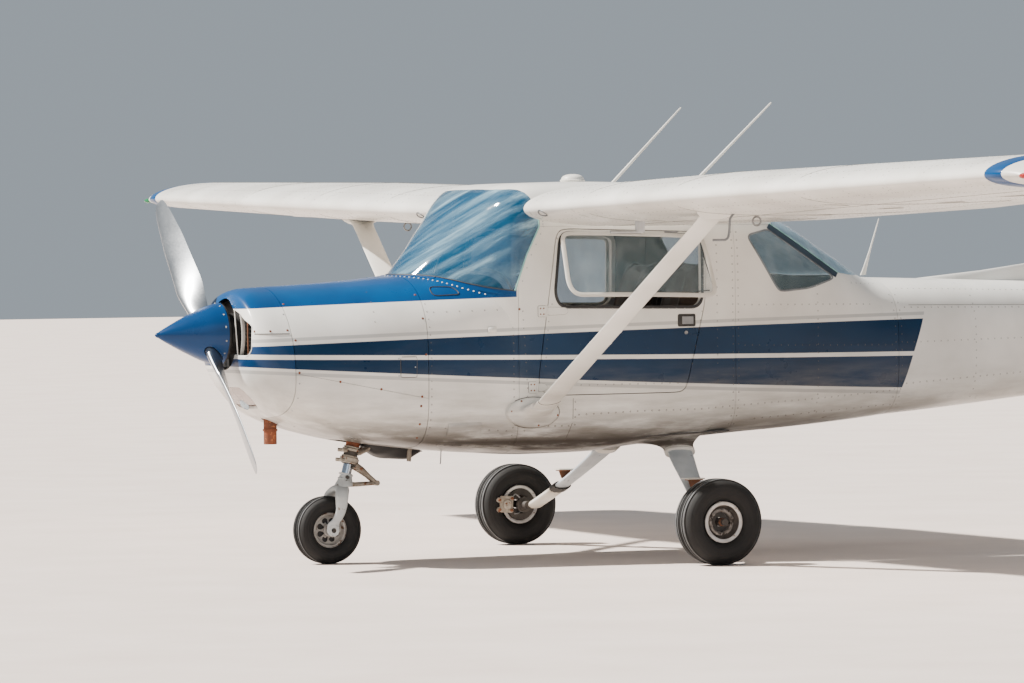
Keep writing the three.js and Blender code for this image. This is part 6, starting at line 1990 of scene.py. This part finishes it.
# Cabin inside: lining, floor, panel with dials, control wheels and padded seats
def makeInterior():
    for name, x0, x1, cutLines in (
            ("lining_centre", 800, 1899, (screenLine, doorLine)),
            ("lining_rear", 1900.5, 2780, (quarterPane, rearPane))):
        sheet = shell(name, cabinRows, x0, x1, 4, 40, 18)
        cutters = [prism("cut", rounded(shrink(line, -6), 30), -cutReach, cutReach) for line in cutLines]
        carve(sheet, *cutters)
        discard(*cutters)
        finishPiece(sheet, "liner")
    places = np.linspace(440, 1890, 30)
    floor = []
    for station in places:
        half = rowsAt(cabinRows, station, 3)[0] - 60
        height = np.interp(station, [300, 760, 900, 1890], [640, 640, 560, 600])
        y = np.linspace(-half, half, 15)
        tunnel = 70 * np.exp(-((y / 90) ** 4)) * (station < 1150)
        lower = np.stack([np.full(15, station), y, height + tunnel], 1)
        floor.append(np.vstack([lower, lower[::-1] - (0, 0, 6)]))
    finishPiece(loft("cabin_floor", floor), "floor")
    deck = []
    for station in np.linspace(356, 742, 26):
        _, top, _, half, mid, power, _ = smoothRows(noseRows, np.array([station]))[0]
        reach = min(half, np.interp(station, [300, 420, 520, 640, 768], [150, 290, 380, 452, 500])) - 14
        y = np.linspace(-reach, reach, 25)
        z = mid + (top - 12 - mid) * (1 - np.abs(y / half) ** power) ** (1 / power) - 4
        z = z - 14 * np.clip((station - 640) / 100, 0, 1)
        upper = np.stack([np.full(25, station), y, z], 1)
        deck.append(np.vstack([upper, upper[::-1] - (0, 0, 5)]))
    finishPiece(loft("glareshield", deck), "panel")
    face = rounded([(-448, 985), (448, 985), (448, 1200), (380, 1300), (150, 1338), (-150, 1338), (-380, 1300),
        (-448, 1200)], 60, 6)
    board = prism("panel_face", face, 744, 752, "x")
    parts, dials, glasses = [board], [], []
    for y, z, radius in (
            (-330, 1210, 40), (-240, 1218, 40), (-150, 1210, 40), (-330, 1120, 40), (-240, 1126, 40),
            (-150, 1120, 40),
            (330, 1200, 28), (260, 1200, 28), (330, 1130, 28), (260, 1130, 28), (190, 1240, 24)):
        dials.append(turned("bezel",
            [(0, radius - 4), (0, radius + 5), (6, radius + 4), (7, radius), (3, radius - 4), (0, radius - 4)],
            (752, y, z), (1, 0, 0), 32))
        glasses.append(turned("dial", [(0, 0.1), (0, radius - 4), (2, radius - 4), (2, 0.1)], (752, y, z), (1, 0, 0),
            24))
        angle = 0.7 + y * 0.01 + z * 0.02
        tip = (755.5, y + (radius - 8) * math.cos(angle), z + (radius - 8) * math.sin(angle))
        glasses.append(tube("needle", [(755.5, y, z), tip], [1.8, 0.7], 5))
    for z in (1040, 1085, 1130, 1175):
        parts.append(prism("radio", rounded([(-80, z), (80, z), (80, z + 38), (-80, z + 38)], 5, 4), 752, 760, "x"))
        for y in (-66, 66):
            parts.append(turned("knob", [(0, 0), (0, 8), (12, 7), (13, 0)], (760, y, z + 19), (1, 0, 0), 16))
    finishPiece(joined("panel_board", *parts), "panel", replaces=["instrument_panel"], sharp=30)
    finishPiece(joined("dial_rings", *dials), "dark")
    finishPiece(joined("dial_faces", *glasses), "dial", sharp=30)
    yokes = []
    for side in (-1, 1):
        yokes.append(tube("shaft", [(752, side * 240, 1110), (955, side * 240, 1110)], 11, 16))
        turn = np.linspace(math.radians(205), math.radians(335), 30)
        ring = [(962, side * 240 + 122 * math.cos(t), 1160 + 74 * math.sin(t)) for t in turn]
        horn = [(962, side * 240 - 118, 1176), *ring, (962, side * 240 + 118, 1176)]
        yokes.append(tube("wheel", horn, 10, 14))
        yokes.append(turned("boss", [(0, 0), (0, 30), (16, 34), (24, 28), (26, 0)], (948, side * 240, 1106),
            (1, 0, 0), 28))
    finishPiece(joined("control_wheels", *yokes), "dark")
    seed = np.random.default_rng(7)
    for k, (station, side, turn) in enumerate(((622, -352, 0.3), (662, -300, 1.1), (600, -300, 2.0))):
        u, v = np.meshgrid(np.linspace(-1, 1, 9), np.linspace(-1, 1, 9))
        rise = 9 * np.sin(2.4 * u + turn * 3) * np.cos(1.9 * v - turn) + seed.normal(0, 1.6, u.shape)
        x = station + 44 * (u * math.cos(turn) - 0.7 * v * math.sin(turn))
        y = side + 44 * (u * math.sin(turn) + 0.7 * v * math.cos(turn))
        rings = np.stack([x, y, 1292 + 9 * k + rise], -1)
        finishPiece(loft("chart_sheet_" + str(k + 1), np.concatenate([rings, (rings - (0, 0, 0.8))[:, ::-1]], 1)),
            "paper", sharp=30)
    finishPiece(turned("compass", [(0, 0), (0, 26), (10, 30), (40, 30), (50, 24), (50, 0)], (640, 0, 1500),
        (1, 0, 0), 28), "dark")


makeInterior()
print("stage: cabin inside made")


# Point and outward normal on the wing at a reach and a share of the chord; sense is 1 on top and -1 below
def onWing(reach, along, sense, side, out=0.0):
    row = wingRow(reach)
    step = 0.004
    here = wingPlace(row, np.array([along]), foil(np.array([along]), sense), side)[0]
    ahead = wingPlace(row, np.array([along + step]), foil(np.array([along + step]), sense), side)[0]
    slope = (ahead - here) / np.linalg.norm(ahead - here)
    normal = np.array([-slope[2], 0, slope[0]]) * sense
    return here + normal * out, normal


# A band of paint just proud of the wing's end, its rings a little larger than the tip's, and the lamp beyond it
def makeTipBands():
    for side, tag in bothTags:
        rings = []
        for beyond, out in ((2, 0.2), (4, 0.9), (60, 0.9), (118, 0.9), (120, 0.2)):
            shift, drop, chordShare, thin = smoothRows(np.array(tipRows), np.array([beyond]))[0][1:]
            _, nose, height, chord, incidence = wingRows[2]
            row = (4770 + beyond, nose + shift - out, height + drop, chord * chordShare + 2 * out, incidence)
            rings.append(wingRing(row, side, 1.0, thin * (1 + out / 70)))
        finishPiece(loft("wing_tip_band_" + tag, rings), "blueTrim")
        lamp = []
        for grow in np.linspace(0, 1, 7):
            turn = turnsOf(24)
            half = 26 * math.sqrt(max(0.02, 1 - grow**2))
            lamp.append(np.stack([np.full(24, 1006 - 28 * grow), side * (5018 + 1.1 * half * np.cos(turn)),
                1750 + 0.5 * half * np.sin(turn)], 1))
        finishPiece(loft("tip_lamp_" + tag, lamp), "red" if side < 0 else "green")


makeTipBands()


# Mast and tube of the air probe, and the bent vent tube under the wing
def makeProbes():
    mast = []
    for height, station, half, thick in ((1541, 1106, 24, 9), (1560, 1107, 24, 10), (1600, 1108, 25, 10),
            (1640, 1110, 26, 10)):
        mast.append(ringAt((station, -1150, height), (1, 0, 0), (0, 1, 0), half, thick, 2.2, 28))
    tubes = [loft("mast", mast),
        tube("probe", [(1112, -1150, 1545), (1000, -1150, 1545), (962, -1150, 1545), (956, -1150, 1545)],
            [9, 9, 8.5, 7], 20)]
    finishPiece(joined("air_probe_skin", *tubes), "alloy", replaces=["air_probe"])
    bent = [(1140, -2150, 1655), (1081, -2150, 1595), (1077, -2150, 1545), (1070, -2150, 1515), (1050, -2150, 1504),
        (996, -2150, 1504)]
    line = smoothRows([(k, *v) for k, v in enumerate(bent)], np.linspace(0, 5, 40))[:, 1:]
    finishPiece(tube("fuel_vent_tube", line, 5.5, 14), "frameEdge")


makeProbes()


def makeAerials():
    foot, end = np.array([1680, 470, 1748.0]), np.array([2108, 500, 2156.0])
    for side, tag in bothTags:
        flip = np.array([1, side, 1])
        path = [(foot + (end - foot) * t) * flip for t in (0.055, 0.3, 0.7, 0.985, 0.998)]
        rod = tube("aerial_rod", path, [8, 7, 5.2, 3.8, 2.4], 14)
        base = (foot + (end - foot) * 0.045) * flip
        seat = turned("seat", [(0, 0), (0, 17), (5, 17), (14, 11), (22, 9), (22, 0)], base, (end - foot) * flip, 24)
        finishPiece(joined("aerial_skin_" + tag, rod, seat), "whitePlastic", replaces=["aerial_" + tag])
    low, high = np.array([2842, 0, 1316.0]), np.array([2936, 0, 1602.0])
    rings = []
    for t, along, across in ((0.03, 16, 6), (0.12, 12, 5), (0.3, 8, 4.5), (0.45, 5, 4), (0.8, 3.6, 3.4),
            (0.995, 2.4, 2.4)):
        rings.append(ringAt(low + (high - low) * t, (1, 0, 0), (0, 1, 0), along, across, 2.0, 20))
    finishPiece(loft("rear_aerial_skin", rings), "whitePlastic", replaces=["rear_aerial"])
    dome = [(0, 0), (0, 58), (3, 60), (10, 60), (13, 55), (20, 53), (29, 45), (35, 30), (37.5, 14), (38, 0)]
    finishPiece(turned("roof_dome_skin", dome, (1292, 0, 1787.5), (0, 0, 1), 48), "whitePlastic",
        replaces=["roof_dome"])
    lens = [(0, 0), (0, 22), (30, 22), (44, 18), (53, 9), (57.5, 0)]
    top = finRows[-1][0]
    piece = turned("beacon_lens", lens, (5812, 0, top + 0.4), (0, 0, 1), 36)
    finishPiece(piece, "red", replaces=["beacon"])
    finishPiece(turned("beacon_ring", [(0, 20), (0, 26), (9, 25.5), (9, 20), (0, 20)], (5812, 0, top + 0.4),
        (0, 0, 1), 36), "alloy")


makeAerials()


# Rudder with its horn, elevators with horns and the tube between them, and the trim tab
def makeControls():
    rings = []
    for height in np.linspace(hornRows[0][0], hornRows[1][0], 14):
        _, nose, rear, half = smoothRows(np.array(hornRows), np.array([height]))[0]
        t = np.linspace(0, 1, 20)
        thick = (
            half * (1 - (1 - np.minimum(t / 0.35, 1)) ** 2.2) ** 0.5
            * (1 - 0.4 * np.clip((t - 0.35) / 0.65, 0, 1)))
        x = nose + t * (rear - nose)
        upper = np.stack([x, thick, np.full(20, height)], 1)
        rings.append(np.vstack([upper, (upper * (1, -1, 1))[::-1][:-1]]))
    finishPiece(loft("rudder_horn", rings), "white", "rudder")
    hinges = []
    for height in (1120, 1560, 2010):
        place = (rudderLine(height), 0, height - 28)
        hinges.append(turned("barrel", pin(9, 56), place, (rudderLean, 0, 1), 16))
    finishPiece(joined("rudder_hinges", *hinges), "alloy", "rudder")
    mid, hinge = tailSizes["stabMid"], tailSizes["stabHinge"]
    for side, tag in bothTags:
        rings = []
        for reach, half in ((1417, 24), (1440, 23), (1470, 20), (1500, 17.5), (1525, 15)):
            t = np.linspace(0, 1, 18)
            thick = half * (1 - (1 - np.minimum(t / 0.6, 1)) ** 2.2) ** 0.5
            x = 5440 + t * (hinge - 5440)
            upper = np.stack([x, np.full(18, side * reach), mid + thick], 1)
            lower = np.stack([x, np.full(18, side * reach), mid - thick], 1)[::-1]
            rings.append(np.vstack([upper, lower[:-1]]))
        horn = loft("horn", rings)
        rod = tube("tube", [(hinge, side * 120, mid), (hinge, 0, mid)], 14, 20)
        faceOutwards(horn)
        finishPiece(joined("elevator_horn_" + tag, horn, rod), "white", "elevator")
    tab = controlSkin(
        "trim_tab_skin", [(tailSizes["tabIn"] + 7, 5994 - 0.03 * (tailSizes["tabIn"] + 7), 4),
            (tailSizes["tabOut"] - 7, 5994 - 0.03 * (tailSizes["tabOut"] - 7), 4)],
        lambda reach: tailSizes["tabHinge"], lambda y, x, z: (x, y, mid + z * 0.9), edge=2.0)
    finishPiece(tab, "white", "trim_tab", ["elevator_trim_tab"], 50)
    finishPiece(tube("trim_tab_rod", [(5790, 700, mid - 26), (5905, 700, mid - 16)], 3.5, 10), "steel", "elevator")


makeControls()


# Plain engine block with its cylinder rows, kept simple behind the cowl
def makeEngine():
    core = prism("block", rounded([(-316, 800), (300, 800), (300, 1110), (-316, 1110)], 30, 5), -150, 150)
    parts = [core]
    for side in (-1, 1):
        for station in (-210, 30):
            profile = [(0, 62)]
            for k in range(14):
                at = 8 + k * 13
                profile += [(at, 62), (at, 92), (at + 5, 92), (at + 5, 62)]
            profile += [(190, 62), (190, 0.1), (0, 0.1)]
            parts.append(turned("cylinder", profile[::-1], (station, side * 148, 960), (0, side, 0), 32))
    finishPiece(joined("engine_block_skin", *parts), "iron", replaces=["engine_block"], sharp=30)


makeEngine()


# Seats: the cushion and the back are remeshed shells blown up by a cloth solve, with a pipe frame below
seatSizes = {"inner": 70, "outer": 460, "inset": 30, "voxel": 0.0065, "pressure": 4.0, "limit": 0.026, "frames": 20}


def puffed(shape):
    shape.data.materials.clear()
    mesher = shape.modifiers.new("mesh", "REMESH")
    mesher.mode = "VOXEL"
    mesher.voxel_size = seatSizes["voxel"]
    settle(shape)
    start = np.empty(len(shape.data.vertices) * 3)
    shape.data.vertices.foreach_get("co", start)
    solve = shape.modifiers.new("cloth", "CLOTH")
    solve.settings.use_pressure = True
    solve.settings.uniform_pressure_force = seatSizes["pressure"]
    solve.settings.effector_weights.gravity = 0
    solve.point_cache.frame_end = seatSizes["frames"]
    for frameNumber in range(1, seatSizes["frames"] + 1):
        bpy.context.scene.frame_set(frameNumber)
    settle(shape)
    bpy.context.scene.frame_set(1)
    end = np.empty(len(start))
    shape.data.vertices.foreach_get("co", end)
    move = (end - start).reshape(-1, 3)
    far = np.linalg.norm(move, axis=1, keepdims=True)
    move *= np.minimum(1, seatSizes["limit"] / np.maximum(far, 1e-9))
    shape.data.vertices.foreach_set("co", (start.reshape(-1, 3) + move).ravel())
    return shape


# A pad in the plane of a line from low to high: thickness and width swell between the ends, edges pull in
def padShape(name, low, high, thick, side):
    low, high = np.array(low, float), np.array(high, float)
    ahead = (high - low) / np.linalg.norm(high - low)
    up = np.array([-ahead[1], ahead[0]])
    centre = side * (seatSizes["inner"] + seatSizes["outer"]) / 2
    half = (seatSizes["outer"] - seatSizes["inner"]) / 2 - seatSizes["inset"]
    rings = []
    for t in np.r_[0, 0.02, 0.06, np.linspace(0.12, 0.88, 15), 0.94, 0.98, 1]:
        swell = (1 - abs(2 * t - 1) ** 5) ** 0.4 if 0 < t < 1 else 0.12
        middle = low + (high - low) * t
        turn = turnsOf(40)
        c, s = np.cos(turn), np.sin(turn)
        y = centre + half * (0.94 + 0.06 * swell) * np.sign(c) * np.abs(c) ** 0.4
        lift = thick / 2 * swell * np.sign(s) * np.abs(s) ** 0.6
        lift = lift - 4.0 * (np.abs(np.abs(y - centre) - half * 0.5) < 8) * (s > 0)
        rings.append(np.stack([middle[0] + up[0] * lift, y, middle[1] + up[1] * lift], 1))
    return loft(name, rings)


def makeSeats():
    for side, tag in bothTags:
        cushion = puffed(padShape("seat_cushion_" + tag, (1192, 916), (1616, 892), 104, side))
        finishPiece(cushion, "cloth", replaces=["seat_" + tag], sharp=60)
        back = puffed(padShape("seat_back_" + tag, (1668, 968), (1812, 1408), 88, side))
        finishPiece(back, "cloth", sharp=60)
        frameTubes = []
        for y in (110, 420):
            frameTubes.append(tube("rail",
                [(1190, side * y, 838), (1640, side * y, 832), (1706, side * y, 880), (1840, side * y, 1380)], 9, 12))
        for station in (1215, 1600):
            frameTubes.append(tube("bar", [(station, side * 110, 836), (station, side * 420, 836)], 8, 12))
        finishPiece(joined("seat_frame_" + tag, *frameTubes), "iron")


makeSeats()
print("stage: tail controls, aerials, seats made")


def makeWingDetails():
    dots, ways, seams, covers, rings = [], [], [], [], []
    ribs = np.arange(640, 4760, 330)
    spars = (0.06, 0.16, 0.28, 0.45, 0.62, 0.735)
    for side in (-1, 1):
        for sense in (1, -1):
            for reach in ribs:
                for along in np.r_[0.015, 0.035, np.arange(0.06, 0.74, 0.028)]:
                    point, normal = onWing(reach, along, sense, side)
                    dots.append(point)
                    ways.append(normal)
            for along in spars:
                for reach in np.arange(600, 4750, 46):
                    point, normal = onWing(reach, along, sense, side)
                    dots.append(point)
                    ways.append(normal)
            for reach in (1180, 2115, 3210):
                line = [onWing(reach, a, sense, side, 0.2)[0] for a in np.linspace(0.01, 0.74, 30)]
                seams.append(tube("seam", line, 1.1, 5))
            line = [onWing(r, 0.28, sense, side, 0.2)[0] for r in np.linspace(560, 4760, 60)]
            seams.append(tube("seam", line, 1.1, 5))
        for reach, along in ((900, 0.5), (1480, 0.5), (1980, 0.5), (2700, 0.5), (3300, 0.5), (3900, 0.5),
                (4400, 0.5), (1250, 0.2), (3050, 0.2)):
            point, normal = onWing(reach, along, -1, side)
            covers.append(turned("cover", [(0, 0), (0, 66), (1.4, 66), (2.2, 60), (2.2, 0)], point, normal, 28))
        point, normal = onWing(840, 0.34, 1, side)
        covers.append(turned("cap", [(0, 0), (0, 42), (4, 42), (7, 38), (7, 0)], point, normal, 28))
        point, normal = onWing(2010, 0.30, -1, side, 2)
        turn = turnsOf(24)
        ring = point + (0, 0, -22) + np.stack([20 * np.cos(turn), np.zeros(24), 20 * np.sin(turn)], 1)
        rings.append(tube("ring", ring, 4.2, 10, closed=True))
        rings.append(tube("stem", [point + (0, 0, 6), point + (0, 0, -4)], 7, 12))
        lip = [onWing(723 + 34 * math.cos(t), 0.012 + 0.010 * math.sin(t), -1, side, 1.0)[0] for t in turnsOf(28)]
        rings.append(tube("lip", lip, 3.4, 8, closed=True))
    finishPiece(domes("wing_rivets", dots, ways, 2.6, 1.3), "white")
    finishPiece(domes("wing_rivet_rings", dots, ways, 4.2, 0.45), "ringDirt")
    finishPiece(joined("wing_seams", *seams), "seamDark")
    finishPiece(joined("wing_covers", *covers), "white", sharp=30)
    finishPiece(joined("wing_rings", *rings), "steel")


makeWingDetails()
print("stage: wing details made")

# Stage: pale floor, a sun with soft edges and a pale sky. A lamp has its direction, strength, spread and tint.
stageLook = {
    "floor": (-60000, 90000), "tones": [(0.3, "#d2c4bb"), (0.7, "#dccfc6")], "sky": "#d2dee9", "skyStrength": 0.52,
    "lamps": [
        ("sun", (-0.84, 0.42, 1.0), 13.0, 2.0, "#fff9f2"), ("fill", (-0.35, -1.0, 0.45), 0.4, 40.0, "#f4f6ff"),
    ],
}


def makeStage():
    near, far = stageLook["floor"]
    floor = newMesh("floor", [(near, near, 0), (far, near, 0), (far, far, 0), (near, far, 0)], [[0, 1, 2, 3]])
    made, add, shader, place = startMaterial("floor_concrete", Roughness=0.9)
    cloud = add("TexNoise", {"Vector": place, "Scale": 1.5, "Detail": 5, "Roughness": 0.55})[0]
    feed(shader, Base_Color=add("ValToRGB", {0: cloud}, stops=stageLook["tones"])[0])
    floor.data.materials.append(made)
    world = bpy.data.worlds.new("sky")
    bpy.context.scene.world = world
    world.use_nodes = True
    sky = world.node_tree.nodes["Background"].inputs
    sky[0].default_value, sky[1].default_value = toLinear(stageLook["sky"]), stageLook["skyStrength"]
    for name, direction, strength, spread, tint in stageLook["lamps"]:
        lamp = bpy.data.lights.new(name, "SUN")
        lamp.energy = strength
        lamp.angle = math.radians(spread)
        lamp.color = toLinear(tint)[:3]
        holder = bpy.data.objects.new(name, lamp)
        holder.rotation_mode = "QUATERNION"
        holder.rotation_quaternion = Vector(direction).to_track_quat("Z", "Y")
        bpy.context.scene.collection.objects.link(holder)


makeStage()

print("stage: done")
